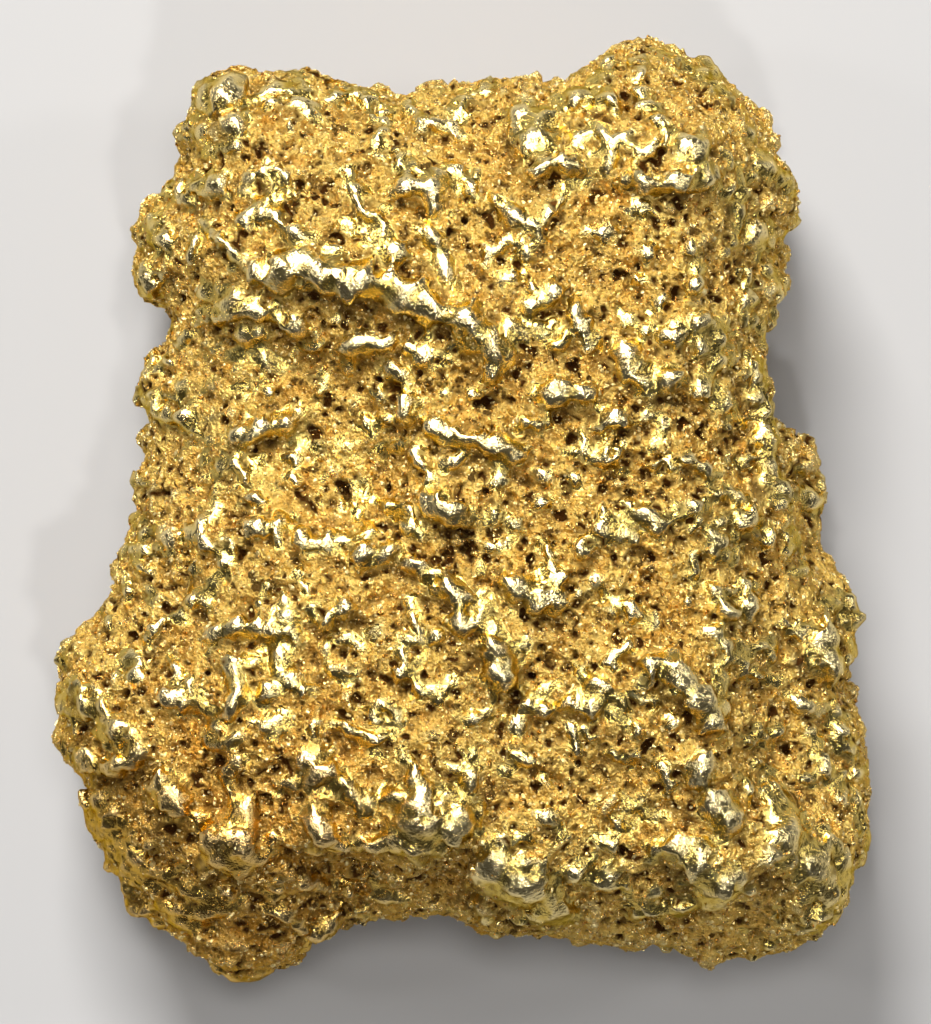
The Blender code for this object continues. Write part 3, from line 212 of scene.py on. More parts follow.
MIDDLE_RIGHT_CRESTS = (
    (0.4, 0.2, ((4.35, 4.3), (4.7, 4.5))),
    (0.5, 0.22, ((4.9, 4.1), (5.2, 4.35), (5.45, 4.6))),
    (0.38, 0.26, ((5.55, 4.5), (5.95, 4.7), (6.2, 4.5), (6.3, 4.15), (6.65, 3.9))),
    (0.33, 0.2, ((6, 3.8), (6.25, 4.15))),
    (0.4, 0.36, (
        (6.85, 4.05), (7.05, 3.7), (7.1, 3.2), (7.2, 2.7), (7.35, 2.1), (7.35, 1.6), (7.35, 1.2),
        (7.5, 0.8), (7.65, 0.5), (7.9, 0.1), (8.1, -0.2),
    )),
    (0.5, 0.34, (
        (3.8, 4.25), (3.95, 3.85), (4.1, 3.4), (4.4, 3.1), (4.8, 3.05), (5.1, 3.25), (5.5, 3.2),
    )),
    (0.33, 0.2, ((5.6, 3), (6.05, 2.9), (6.4, 2.75), (6.65, 2.4))),
    (0.75, 0.26, ((3.7, 2.55), (3.8, 1.95))),
    (0.33, 0.18, ((4.2, -0.3), (4.5, -0.1), (4.75, -0.4), (4.9, -0.75))),
    (0.43, 0.34, ((6.55, -0.3), (6.9, -0.25), (7.15, 0.1))),
    (0.4, 0.18, ((7, -0.35), (7.45, -0.55))),
    (0.28, 0.18, ((7.55, -0.6), (7.55, -1))),
    (0.25, 0.16, ((7.95, -0.5), (8.05, -0.9), (8, -1.3))),
    (0.4, 0.22, ((6.45, -2.2), (6.85, -1.95), (7.35, -2))),
)
LOWER_LEFT_CRESTS = (
    (0.3, 0.18, ((-9.95, -3.1), (-10.1, -3.6), (-10.1, -4.05))),
    (0.35, 0.3, (
        (-9.9, -4.3), (-9.45, -4.45), (-9.2, -4.75), (-9.35, -5.05), (-9.65, -5.1), (-9.95, -4.85),
        (-9.9, -4.5),
    )),
    (0.43, 0.36, ((-10, -5.95), (-9.6, -6.2), (-9.05, -6.3), (-8.55, -6.3), (-8.1, -6.1), (-7.9, -5.8))),
    (0.6, 0.26, ((-9.15, -4.85), (-8.8, -5.2), (-8.6, -5.6), (-8.1, -5.7))),
    (0.45, 0.26, ((-7.65, -4.7), (-7.2, -4.75), (-6.9, -4.8), (-7.15, -5.1))),
    (0.35, 0.24, ((-6.45, -3.3), (-5.95, -3.05), (-5.3, -2.95), (-4.55, -3), (-4, -3.1))),
    (0.33, 0.26, (
        (-6.05, -3.9), (-5.7, -4.05), (-5.55, -4.4), (-5.6, -4.8), (-5.8, -5.1), (-6.05, -5.2),
    )),
    (0.28, 0.16, ((-5.05, -3.3), (-5.05, -3.65), (-5.45, -3.85))),
    (0.35, 0.24, ((-4.8, -3.5), (-4.5, -3.8), (-4.6, -4.1), (-4.35, -4.3), (-4.15, -4.7))),
    (0.35, 0.28, ((-3.55, -2.9), (-3.2, -2.6), (-2.75, -2.35))),
    (0.55, 0.34, ((-3.75, -5.5), (-3.55, -5.5))),
    (0.38, 0.28, ((-4.2, -6.3), (-3.8, -6.2), (-3.4, -6))),
    (0.75, 0.26, ((-3.55, -6.45), (-3.4, -6.85))),
    (0.43, 0.22, ((-3.25, -6.65), (-2.9, -7), (-2.45, -7.1))),
    (0.3, 0.18, ((-5.8, -5.7), (-5.65, -6))),
    (0.35, 0.2, ((-5.85, -6.35), (-5.8, -6.75), (-5.7, -7.15))),
    (0.6, 0.24, ((-5.45, -7.25), (-5.4, -7.7), (-5.35, -8.1))),
    (0.9, 0.3, ((-7.5, -6.9), (-7.1, -7.2), (-6.8, -7.3))),
    (1, 0.18, ((-9.15, -7.4), (-8.9, -7.95), (-8.5, -8.5), (-7.85, -9.05))),
    (0.28, 0.18, ((-6.65, -8.15), (-6.25, -8.2), (-5.8, -7.9))),
    (0.5, 0.26, ((-6.3, -8.5), (-5.75, -8.7), (-5.1, -8.5))),
    (0.25, 0.14, ((-4.65, -9.25), (-4.65, -9.55), (-4.95, -9.8))),
    (0.33, 0.24, (
        (-5.15, -9.9), (-4.5, -10.1), (-4.1, -10.5), (-3.6, -10.6), (-3.35, -10.3), (-3.25, -9.7),
    )),
    (0.4, 0.2, ((-7.3, -9.45), (-6.45, -9.65), (-5.35, -9.6))),
    (0.4, 0.18, ((-7.85, -9.9), (-6.85, -10.1), (-5.7, -10.05))),
)
LOWER_CENTRE_CRESTS = (
    (0.28, 0.16, ((-2.25, -2.95), (-2.15, -3.4))),
    (0.35, 0.24, ((-1.55, -3.4), (-1.5, -3.85), (-1.65, -4.3))),
    (0.23, 0.14, ((-1, -3.6), (-1.3, -4), (-1.1, -4.7))),
    (0.28, 0.18, ((-1.3, -2.55), (-1.15, -3), (-0.85, -3.3), (-0.55, -3.05))),
    (0.35, 0.28, ((-0.5, -2.9), (-0.2, -2.75), (0.1, -2.95), (0.35, -2.7), (0.15, -2.4))),
    (0.3, 0.22, ((0.35, -2.85), (0.65, -3), (0.9, -3.4), (1.2, -4), (1.55, -4.6))),
    (0.6, 0.38, ((0.65, -3.15), (0.8, -3.6), (0.9, -4.1), (0.75, -4.6))),
    (0.25, 0.16, ((0, -5.3), (0.35, -5.25), (0.7, -5))),
    (0.4, 0.26, ((2.25, -5), (2.6, -4.8), (3.05, -4.95), (3.5, -4.95))),
    (0.35, 0.18, ((1.3, -4.85), (1.8, -5), (2.2, -5.05))),
    (0.33, 0.2, ((2.7, -3.85), (3.1, -4.25), (3.6, -4.5), (3.95, -4.8))),
    (0.75, 0.32, ((0.45, -8.55), (0.9, -8.5), (1.45, -8.8), (1.95, -9.1))),
    (0.3, 0.22, ((2.05, -9.1), (2.4, -9.4), (2.7, -9.8), (2.9, -10.1))),
    (0.38, 0.24, ((3.1, -9.3), (3.55, -9.2), (3.95, -9.1))),
    (0.28, 0.2, ((-0.65, -6.8), (-0.4, -7.25), (-0.2, -7.7))),
    (0.28, 0.22, ((0.1, -7.2), (0.3, -7.6), (0.45, -8.1))),
    (0.38, 0.3, ((-1.55, -5.95), (-1.3, -6.45), (-1.2, -6.8), (-1.5, -7.1), (-2.05, -7.25))),
    (1.15, 0.4, ((-1.7, -7.65), (-1.05, -7.55), (-0.45, -7.7), (0.05, -8))),
    (0.38, 0.32, (
        (-3.65, -7.2), (-3.7, -7.75), (-3.4, -8.1), (-2.8, -8.2), (-2.15, -8.15), (-1.55, -8.2),
        (-1, -8.3), (-0.45, -8.45),
    )),
    (0.33, 0.22, ((-3.35, -7.1), (-2.85, -7.15), (-2.4, -7.25), (-2.35, -7.75))),
    (0.28, 0.22, ((-3.3, -5.25), (-2.9, -5.45), (-2.55, -5.6), (-2.2, -5.7), (-1.85, -5.65))),
    (0.28, 0.16, ((-2.15, -4.7), (-1.95, -5), (-1.5, -5.2))),
    (0.4, 0.24, ((0.7, -9.35), (1.4, -9.65), (2.3, -9.9), (3.05, -10.1))),
)
LOWER_RIGHT_CRESTS = (
    (0.26, 0.26, ((7.5, -7.3), (7.95, -7.9), (8.5, -8.6))),
    (0.28, 0.2, ((3.15, -1.6), (3.4, -2), (3.75, -2.3), (4.1, -2.55), (4.45, -2.7), (4.9, -3))),
    (0.55, 0.22, ((6.85, -2.4), (7.2, -2.45))),
    (0.35, 0.22, ((7.9, -2.8), (8.2, -3), (8.5, -2.9))),
    (0.55, 0.44, ((8.6, -2.8), (8.7, -3.3), (8.85, -3.8), (8.95, -4.3))),
    (0.25, 0.14, ((7.15, -3.55), (7.55, -3.4), (7.85, -3.2))),
    (0.33, 0.16, ((6.45, -3.3), (6.5, -3.7))),
    (0.25, 0.16, ((7, -3.85), (6.85, -4.3))),
    (0.28, 0.16, ((9.3, -2.05), (9.7, -2.4), (9.95, -2.7))),
    (0.28, 0.16, ((9.6, -3.25), (9.75, -3.5), (9.8, -3.8))),
    (0.48, 0.36, (
        (4.4, -4.45), (4.5, -4.1), (4.85, -3.9), (5.2, -4.1), (5.45, -4.5), (5.75, -4.8), (6.05, -5.2),
        (6.35, -5.55),
    )),
    (0.5, 0.32, ((5.9, -5.95), (5.85, -6.4), (5.9, -6.9))),
    (0.65, 0.36, ((6.05, -7.05), (6.3, -7.45), (6.65, -7.9))),
    (0.25, 0.16, ((7.15, -5.35), (7.35, -5.6), (7.6, -5.7), (7.95, -5.5))),
    (0.35, 0.24, ((7.3, -6.7), (7.65, -7.2), (8.1, -7.65), (8.6, -8.15))),
    (0.35, 0.24, ((7.45, -7.6), (7.85, -8.05), (8.3, -8.5), (8.55, -8.75))),
    (0.43, 0.28, ((8.5, -8.6), (8.85, -8.4), (9.2, -8.55), (9.35, -8.95), (9.35, -9.45))),
    (0.35, 0.26, ((8.4, -8.9), (8.5, -9.4), (8.8, -9.6), (9.15, -9.35))),
    (0.25, 0.16, ((9.25, -7.2), (9.35, -6.8), (9.75, -6.7), (10.15, -6.6))),
    (0.25, 0.14, ((9.85, -7.55), (9.9, -7.9), (9.9, -8.3))),
    (0.4, 0.26, ((4.6, -8.4), (4.95, -8.4), (5.35, -8.45))),
    (0.25, 0.16, ((5.9, -8.2), (6.2, -8.1), (6.3, -8.5))),
    (0.28, 0.2, ((6.6, -8.7), (6.8, -9.1), (6.95, -9.6))),
    (0.75, 0.28, ((5.85, -9.15), (6.3, -9.45), (6.65, -9.75))),
    (0.23, 0.14, ((4, -9.25), (4.15, -9.8))),
    (0.45, 0.26, ((3.9, -9.9), (4.9, -9.9), (5.9, -9.7))),
)

# Broad smooth lobes on the lower end: (width, height, line).
LOBES = (
    (1.1, 0.45, ((0.3, -8.3), (1.2, -8.9), (2, -9.5), (2.8, -10.15))),
    (0.8, 0.42, ((5, -8.1), (5.7, -8.5), (6.3, -9.1), (6.7, -9.7))),
    (1, 0.4, ((7.3, -8), (8.2, -8.6), (8.9, -9.3), (8.8, -10), (8, -10.5))),
    (0.75, 0.35, ((-7.7, -6.6), (-7.3, -7), (-6.9, -7.6))),
    (0.75, 0.35, ((-6.3, -8), (-5.8, -8.3), (-5.3, -8.6))),
    (0.9, 0.35, ((-9.2, -7), (-9, -7.6), (-8.7, -8.2))),
)

# Thin layers that stand out of the foot at the bottom left, in mm: the line of each.
LAYERS = (
    ((-8.8, -8.55), (-8.1, -9.25), (-7.35, -9.9), (-6.45, -10.4)),
    ((-8.35, -8.25), (-7.45, -8.95), (-6.45, -9.5), (-5.35, -9.9), (-4.35, -10.4)),
    ((-7.85, -9.9), (-6.95, -10.5), (-6.1, -10.9), (-5.05, -11)),
    ((-7.45, -8.5), (-6.2, -8.95), (-5.05, -9.25), (-4.1, -9.75)),
    ((-9.1, -8), (-8.55, -8.8), (-7.95, -9.6)),
    ((-6.95, -11), (-6.2, -11.3), (-5.35, -11.45)),
    ((-3.9, -8.9), (-2.9, -9.15), (-1.9, -9.1), (-0.9, -9.35)),
    ((-3.1, -9.7), (-2, -9.75), (-0.9, -9.9), (0.3, -10.2)),
)

# Parts of the front that lie lower than their surroundings, in mm: (drop, slope, edge).
TERRACES = (
    (1.5, 0.4, (
        (7.65, 2.4), (7.66, 1.6), (7.8, 0.9), (8.1, 0.35), (8.4, -0.2), (8.35, -0.8), (8.5, -1.3),
        (9.3, -1.3), (9.7, 0.25), (9.2, 2.3),
    )),
    (1.1, 0.4, (
        (8.4, -1.6), (8.7, -2.5), (9.06, -3.05), (9.2, -3.75), (9.3, -4.5), (9.45, -5.1), (10.6, -5.1),
        (10.6, -1.3), (9.2, -0.9), (8.4, -1.25),
    )),
    (0.7, 0.3, (
        (-4.8, -8.35), (-3.7, -8.45), (-2.3, -8.5), (-0.85, -8.65), (-0.2, -8.6), (0.4, -9.25),
        (1.4, -10.1), (2.4, -10.6), (3.4, -10.9), (3.4, -11.5), (-4.1, -11.5), (-4.35, -10.5),
        (-3.35, -9.75), (-4.1, -9),
    )),
    (0.32, 0.8, (
        (-7.1, 4), (-5.6, 4.45), (-3.85, 4.2), (-2.6, 3.5), (-1.75, 2), (-1.6, 0.25), (-2.85, -0.5),
        (-4.6, -0.25), (-6.6, -0.5), (-7.45, 1), (-7.35, 2.75),
    )),
)
BASIN = TERRACES[3][2]

# The larger pits on the front, in mm: (x, y, radius).
PITS = (
    (-3.25, 9.55, 0.25), (-1.85, 9.6, 0.28), (-0.85, 9.1, 0.3), (-0.95, 8.6, 0.18), (0.25, 9.8, 0.28),
    (0.45, 9.5, 0.2), (-0.15, 9, 0.2), (-3.1, 6.65, 0.2), (0.55, 5.9, 0.28), (1, 5.45, 0.3),
    (2.25, 7.45, 0.2), (3.15, 6.2, 0.23), (3.05, 7.35, 0.2), (2.25, 9.6, 0.25), (4.9, 10.4, 0.2),
    (5.1, 10.15, 0.2), (5.65, 9.9, 0.15), (4.8, 8.75, 0.33), (5.55, 7.05, 0.33), (5.05, 7.3, 0.2),
    (6.05, 7.95, 0.25), (6.95, 9.1, 0.23), (5.05, 6.1, 0.2), (5.2, 6.45, 0.2), (4.2, 6.95, 0.2),
    (-2.95, 5.05, 0.18), (-2.45, 5.45, 0.15), (-3.6, 4.6, 0.15), (-3.25, 4.2, 0.23), (-1.8, 4.5, 0.2),
    (-6.25, 4.15, 0.18), (-5.6, 3.8, 0.2), (-4.95, 4.55, 0.2), (-6.9, 3.4, 0.15), (-6.3, 3.35, 0.15),
    (0.05, 3.55, 0.38), (-0.45, 3.05, 0.33), (0.7, 2.6, 0.28), (1.55, 2.55, 0.3), (1.7, 2, 0.23),
    (2.4, 1.2, 0.28), (2.55, 3.6, 0.23), (1.2, 3.5, 0.25), (1.7, 3.7, 0.2), (3.8, 3.6, 0.2),
    (5.45, 2.35, 0.3), (5, 2.6, 0.2), (4.4, 1.5, 0.23), (4.65, 0.75, 0.38), (5.8, 0.95, 0.33),
    (5.65, 0.45, 0.23), (6.05, 0.2, 0.23), (4.4, 4.1, 0.18), (6.25, 1.9, 0.23), (5.45, -0.5, 0.33),
    (5.2, -0.3, 0.2), (2.05, -1, 0.3), (3.55, -1.25, 0.23), (0.65, -1.95, 0.28), (-0.6, -0.75, 0.3),
    (-2.2, 0, 0.28), (0.5, 0.05, 0.33), (-6.95, 0.55, 0.28), (-6.45, 0.25, 0.25), (-4.35, 0.4, 0.23),
    (-3.75, -2, 0.23), (-3.6, -1.35, 0.2), (-6.35, -1, 0.2), (-5.05, -0.2, 0.15), (4.2, -2.05, 0.3),
    (3.2, -2.35, 0.2), (3.8, -2.6, 0.25), (5.65, -2.95, 0.28), (7.6, -2.2, 0.3), (-2.75, -3.8, 0.25),
    (-0.05, -4.3, 0.25), (0.35, -3.9, 0.2), (-0.9, -4.1, 0.18), (5.15, -4.75, 0.23), (5.15, -6, 0.33),
    (3.55, -5.95, 0.3), (4.9, -5.6, 0.18), (8.05, -5.95, 0.28), (8.25, -6.4, 0.28), (7.5, -4.5, 0.2),
    (8, -4.35, 0.23), (2.8, -7, 0.23), (1.45, -7.1, 0.2), (-2.85, -7.45, 0.28), (-4.6, -6.35, 0.25),
    (-4.5, -6.7, 0.2), (-6.45, -6.1, 0.28), (-6.2, -6.4, 0.2), (-6.15, -4.4, 0.23), (-6.4, -2.9, 0.23),
    (-7.85, -7, 0.25), (-8.85, -5.95, 0.3), (-7.95, -4.4, 0.2), (2.9, -9.4, 0.2), (5.45, -9.95, 0.3),
    (0.15, -9.9, 0.25), (-1.55, -8.65, 0.15), (-7.05, -8.65, 0.25), (-5.95, -1.5, 0.18),
    (-6.65, -0.6, 0.18), (-7.15, -2.4, 0.23), (3.8, 3.05, 0.18), (0.85, -3.75, 0.12),
    (4.6, -9.25, 0.25), (-9.6, -4.75, 0.23),
)


@dataclass(frozen=True)
class Crest:
    """One crest: its width and height in mm, points along its line, and how worn it is."""

    width: float
    height: float
    points: tuple[tuple[float, ...], ...]
    polish: float = 1.0

    def line(self, step: float) -> np.ndarray:
        """Points close together along the crest.

        Args:
            step: the most that two neighbouring points lie apart, in mm.

        Returns:
            One row for each point.
        """
        return smooth_line(self.points, step)


@dataclass(frozen=True)
class Hollow:
    """One pit: where its mouth is, and its radius, in mm."""

    centre: tuple[float, ...]
    radius: float


FRONT_CRESTS = tuple(
    Crest(width, height, points)
    for width, height, points in (
        UPPER_LEFT_CRESTS
        + UPPER_CENTRE_CRESTS
        + UPPER_RIGHT_CRESTS
        + MIDDLE_LEFT_CRESTS
        + MIDDLE_CENTRE_CRESTS
        + MIDDLE_RIGHT_CRESTS
        + LOWER_LEFT_CRESTS
        + LOWER_CENTRE_CRESTS
        + LOWER_RIGHT_CRESTS
    )
)


class Mark(Enum):
    """A number kept at each point of the surface, which the finish reads."""

    WORN = "worn"
    HOLLOW = "hollow"
    EDGE = "edge"
    DEPTH = "depth"
    SHADE = "shade"


def smooth_line(points: Sequence[Sequence[float]], step: float, closed: bool = False) -> np.ndarray:
    """A smooth curve through points.

    Args:
        points: the points, in the order that the curve passes them.
        step: the most that two neighbouring points of the result lie apart.
        closed: whether the curve comes back to its first point.

    Returns:
        Points on the curve, one row each.
    """
    knots = np.array(points, float)
    if len(knots) < 2:
        return knots
    if closed:
        ring = np.vstack([knots[-1:], knots, knots[:2]])
    else:
        ring = np.vstack([2 * knots[:1] - knots[1:2], knots, 2 * knots[-1:] - knots[-2:-1]])
    pieces = []
    for a, b, c, d in zip(ring, ring[1:], ring[2:], ring[3:]):
        count = max(2, math.ceil(float(np.linalg.norm(c - b)) / step))
        t = np.linspace(0, 1, count, endpoint=False)[:, None]
        bend = (2 * a - 5 * b + 4 * c - d) * t**2 + (3 * b - a - 3 * c + d) * t**3
        pieces.append(b + 0.5 * ((c - a) * t + bend))
    if not closed:
        pieces.append(knots[-1:])
    return np.vstack(pieces)


def nearest(places: np.ndarray, targets: np.ndarray) -> tuple[np.ndarray, np.ndarray]:
    """Finds the nearest target to each place.

    Args:
        places: one row for each place.
        targets: one row for each target.

    Returns:
        The index of the nearest target to each place, and the distance to it.
    """
    found = np.empty(len(places), int)
    distance = np.empty(len(places))
    for start in range(0, len(places), PLACES_AT_ONCE):
        part = slice(start, start + PLACES_AT_ONCE)
        square = ((places[part, None, :] - targets[None, :, :]) ** 2).sum(axis=2)
        found[part] = square.argmin(axis=1)
        distance[part] = np.sqrt(square.min(axis=1))
    return found, distance


def inside(places: np.ndarray, edge: Sequence[Sequence[float]]) -> np.ndarray:
    """How far each place lies inside a closed edge.

    Args:
        places: one row for each place; only x and y count.
        edge: the corners of the edge, in order.

    Returns:
        The distance to the edge, negative outside it.
    """
    ring = np.array(edge, float)
    after = np.roll(ring, -1, axis=0)
    within = np.zeros(len(places), bool)
    x, y = places[:, 0], places[:, 1]
    for (ax, ay), (bx, by) in zip(ring, after):
        if ay != by:
            crosses = (ay > y) != (by > y)
            within ^= crosses & (x < (bx - ax) * (y - ay) / (by - ay) + ax)
    _, distance = nearest(places[:, :2], smooth_line(edge, EDGE_STEP, closed=True))
    return np.where(within, distance, -distance)


def fractal_noise(places: np.ndarray, size: float, octaves: int, seed: int) -> np.ndarray:
    """Fractal noise, from about -1 to 1.

    Args:
        places: where to read it, one row each.
        size: about how wide the largest features are.
        octaves: how many finer layers are added.
        seed: picks another pattern of the same kind.

    Returns:
        One value for each place.
    """
    shift = Vector([seed * part for part in SEED_SHIFT])
    rows = (places / size + np.array(shift)).tolist()
    values = (noise.fractal(row, NOISE_FADE, NOISE_FINER, octaves) for row in rows)
    return np.fromiter(values, float, len(places))


def crumb_noise(places: np.ndarray, size: float) -> np.ndarray:
    """Rounded crumbs with creases between them: 1 at a crumb's middle and 0 in a crease.

    Args:
        places: where to read it, one row each.
        size: about how wide a crumb is.

    Returns:
        One value for each place.
    """
    rows = (places / size).tolist()
    values = np.fromiter((noise.voronoi(row)[0][0] for row in rows), float, len(places))
    return np.clip(1.0 - values * CRUMB_STEEPNESS, 0.0, 1.0)


def placed(name: str, data: bpy.types.ID) -> bpy.types.Object:
    """Puts a new object in the scene.

    Args:
        name: what it is called.
        data: its mesh, curve, light or camera.

    Returns:
        The object.
    """
    thing = bpy.data.objects.new(name, data)
    bpy.context.scene.collection.objects.link(thing)
    return thing


class Skin:
    """The nugget's surface while it is carved: one closed mesh, in mm."""

    FACES_FRONT = 0.05
    FRONT_REACHES_DOWN = -0.5

    def __init__(self, body: bpy.types.Object) -> None:
        """Takes over an object's mesh.

        Args:
            body: the object that holds the mesh.
        """
        self.body = body

    @property
    def mesh(self) -> bpy.types.Mesh:
        """The mesh as it now is."""
        return self.body.data

    def places(self) -> np.ndarray:
        """Where each vertex is, one row each."""
        return self._vectors(self.mesh.vertices, "co")

    def normals(self) -> np.ndarray:
        """Which way the surface faces at each vertex, one row each."""
        return self._vectors(self.mesh.vertex_normals, "vector")

    @staticmethod
    def _vectors(holders: bpy.types.bpy_prop_collection, name: str) -> np.ndarray:
        """Reads one vector from each part of the mesh.

        Args:
            holders: what holds the vectors.
            name: which of its values is read.

        Returns:
            One row for each.
        """
        flat = np.empty(len(holders) * 3, np.float32)
        holders.foreach_get(name, flat)
        return flat.reshape(-1, 3).astype(float)

    def faces(self, sides: int) -> np.ndarray:
        """Which vertices each face joins.

        Args:
            sides: how many sides each face has.

        Returns:
            The indices of the vertices, one row for each face.
        """
        corners = np.empty(len(self.mesh.loops), np.int32)
        self.mesh.loops.foreach_get("vertex_index", corners)
        return corners.reshape(-1, sides)

    def move(self, places: np.ndarray) -> None:
        """Puts each vertex somewhere else.

        Args:
            places: one row for each vertex.
        """
        self.mesh.vertices.foreach_set("co", places.astype(np.float32).ravel())
        self.mesh.update()

    def apply(self, kind: str, **settings: object) -> None:
        """Applies one modifier.

        Args:
            kind: the modifier's type.
            **settings: the modifier's own values.
        """
        modifier = self.body.modifiers.new(kind.lower(), kind)
        for name, value in settings.items():
            setattr(modifier, name, value)
        graph = bpy.context.evaluated_depsgraph_get()
        changed = bpy.data.meshes.new_from_object(self.body.evaluated_get(graph))
        self.body.modifiers.clear()
        was = self.body.data
        self.body.data = changed
        if isinstance(was, bpy.types.Mesh):
            bpy.data.meshes.remove(was)

    def remesh(self, voxel: float) -> None:
        """Makes the surface one even, closed grid.

        Args:
            voxel: how wide each quad is, in mm.
        """
        self.apply("REMESH", mode="VOXEL", voxel_size=voxel, adaptivity=0.0)

    def tree(self) -> BVHTree:
        """A tree that finds the nearest point of the surface, while that is all quads."""
        return BVHTree.FromPolygons(self.places().tolist(), self.faces(4).tolist())

    def on_front(self) -> np.ndarray:
        """The indices of the vertices that are seen from the front."""
        facing = self.normals()[:, 2] > self.FACES_FRONT
        return np.flatnonzero(facing & (self.places()[:, 2] > self.FRONT_REACHES_DOWN))

    def keep(self, mark: Mark, values: np.ndarray) -> None:
        """Stores a mark at each vertex.

        Args:
            mark: which mark it is.
            values: one value for each vertex.
        """
        layer = self.mesh.attributes.new(mark.value, "FLOAT", "POINT")
        layer.data.foreach_set("value", values.astype(np.float32))

    def smooth_where_worn(self, least: float) -> None:
        """Shades the worn crests smoothly, and leaves the facets of the ground sharp.

        Args:
            least: how worn a face has to be.
        """
        worn = self.mark(Mark.WORN)[self.faces(3)].max(axis=1)
        self.mesh.polygons.foreach_set("use_smooth", worn > least)

    def mark(self, mark: Mark) -> np.ndarray:
        """Reads a mark back.

        Args:
            mark: which mark it is.

        Returns:
            One value for each vertex.
        """
        values = np.empty(len(self.mesh.vertices), np.float32)
        self.mesh.attributes[mark.value].data.foreach_get("value", values)
        return values


@dataclass
class Blank:
    """The plain pillow of the nugget's outline, before anything is carved."""

    half_thickness: float = 3.0
    rim_radius: float = 2.3
    rim_relief: float = 0.14
    wall_depth: float = 0.3
    wall_top: float = 0.98
    back_depth: float = 3.9
    height_blend: float = 0.25
    height_reach: float = 3.0
    curve_steps: int = 4
    edge_step: float = 0.15
    coarse_voxel: float = 0.3
    smoothing: float = 0.5
    smoothing_rounds: int = 8
    fine_voxel: float = 0.075

    def make(self) -> Skin:
        """Makes the pillow.

        Returns:
            Its surface.
        """
        skin = Skin(placed("nugget_skin", self._slab()))
        skin.remesh(self.coarse_voxel)
        self._round_off(skin)
        skin.apply("SMOOTH", factor=self.smoothing, iterations=self.smoothing_rounds)
        skin.remesh(self.fine_voxel)
        return skin

    def _slab(self) -> bpy.types.Mesh:
        """Makes a flat slab of the outline, half its thickness to each side of the seam.

        Returns:
            Its mesh.
        """
        curve = bpy.data.curves.new("outline", "CURVE")
        curve.dimensions = "2D"
        curve.fill_mode = "BOTH"
        curve.extrude = self.half_thickness
        curve.resolution_u = self.curve_steps
        spline = curve.splines.new("BEZIER")
        spline.bezier_points.add(len(OUTLINE) - 1)
        for knot, (x, y) in zip(spline.bezier_points, OUTLINE):
            knot.co = (x, y, 0.0)
            knot.handle_left_type = knot.handle_right_type = "AUTO"
        spline.use_cyclic_u = True
        drawn = placed("outline", curve)
        graph = bpy.context.evaluated_depsgraph_get()
        slab = bpy.data.meshes.new_from_object(drawn.evaluated_get(graph))
        bpy.data.objects.remove(drawn, do_unlink=True)
        bpy.data.curves.remove(curve)
        return slab

    def _round_off(self, skin: Skin) -> None:
        """Rounds the slab's rim to a quarter ellipse and gives its faces their heights.

        Args:
            skin: the slab, which is changed.
        """
        places = skin.places()
        edge = smooth_line(OUTLINE, self.edge_step, closed=True)
        index, inset = nearest(places[:, :2], edge)
        ahead = np.roll(edge, -2, axis=0) - np.roll(edge, 2, axis=0)
        inward = np.column_stack([ahead[:, 1], -ahead[:, 0]])
        inward /= np.linalg.norm(inward, axis=1)[:, None]
        level = np.clip(np.abs(places[:, 2]) / self.half_thickness, 0, 1)
        on_wall = (inset < self.wall_depth) & (level < self.wall_top)
        travelled = np.where(on_wall, level * self.half_thickness, self.half_thickness + inset)
        angle = np.clip(travelled / (self.half_thickness + self.rim_radius), 0, 1) * math.pi / 2
        rounded = self.rim_radius * (1 - np.cos(angle)) + self.rim_relief * (1 - np.sin(angle))
        moved_in = np.where(inset < self.rim_radius, rounded - inset, 0.0)
        moved_in = np.where(on_wall, rounded, moved_in)
        places[:, :2] += inward[index] * moved_in[:, None]
        height = np.where(places[:, 2] > 0, self._front_height(places), -self.back_depth)
        places[:, 2] = height * np.sin(angle)
        skin.move(places)

    def _front_height(self, places: np.ndarray) -> np.ndarray:
        """Blends the front's height above the seam from the known heights around each place.

        Args:
            places: where to read it, one row each.

        Returns:
            One height for each place, in mm.
        """
        known = np.array(FRONT_HEIGHTS)
        square = ((places[:, None, :2] - known[None, :, :2]) ** 2).sum(axis=2)
        fade = np.exp(-square / (2 * self.height_reach**2))
        weight = 1.0 / (square + self.height_blend) ** 2 * fade
        return (weight * known[:, 2]).sum(axis=1) / weight.sum(axis=1)


@dataclass(frozen=True)
class Fillers:
    """Small crests between the drawn ones, most of them along the grain of the front.

    Lengths are in mm. The turn is its mean and its spread, in degrees.
    """

    count: int = 520
    across: Pair = (-10.2, 10.2)
    up: Pair = (-11.5, 11.6)
    turn: Pair = (-24, 32)
    bends: tuple[int, int] = (1, 5)
    bend: float = 0.45
    step: float = 0.24
    width: Pair = (0.16, 0.34)
    height: Pair = (0.07, 0.22)

    def draw(self, maker: random.Random) -> tuple[Crest, ...]:
        """Draws them by chance.

        Args:
            maker: the source of chance.

        Returns:
            The crests, with points in plan.
        """
        made = []
        for _ in range(self.count):
            x = maker.uniform(*self.across)
            y = maker.uniform(*self.up)
            turn = math.radians(maker.gauss(*self.turn))
            points = [(x, y)]
            for _ in range(maker.randrange(*self.bends)):
                turn += maker.gauss(0, self.bend)
                x += math.cos(turn) * self.step
                y += math.sin(turn) * self.step
                points.append((x, y))
            width = maker.uniform(*self.width)
            made.append(Crest(width, maker.uniform(*self.height), tuple(points)))
        return tuple(made)


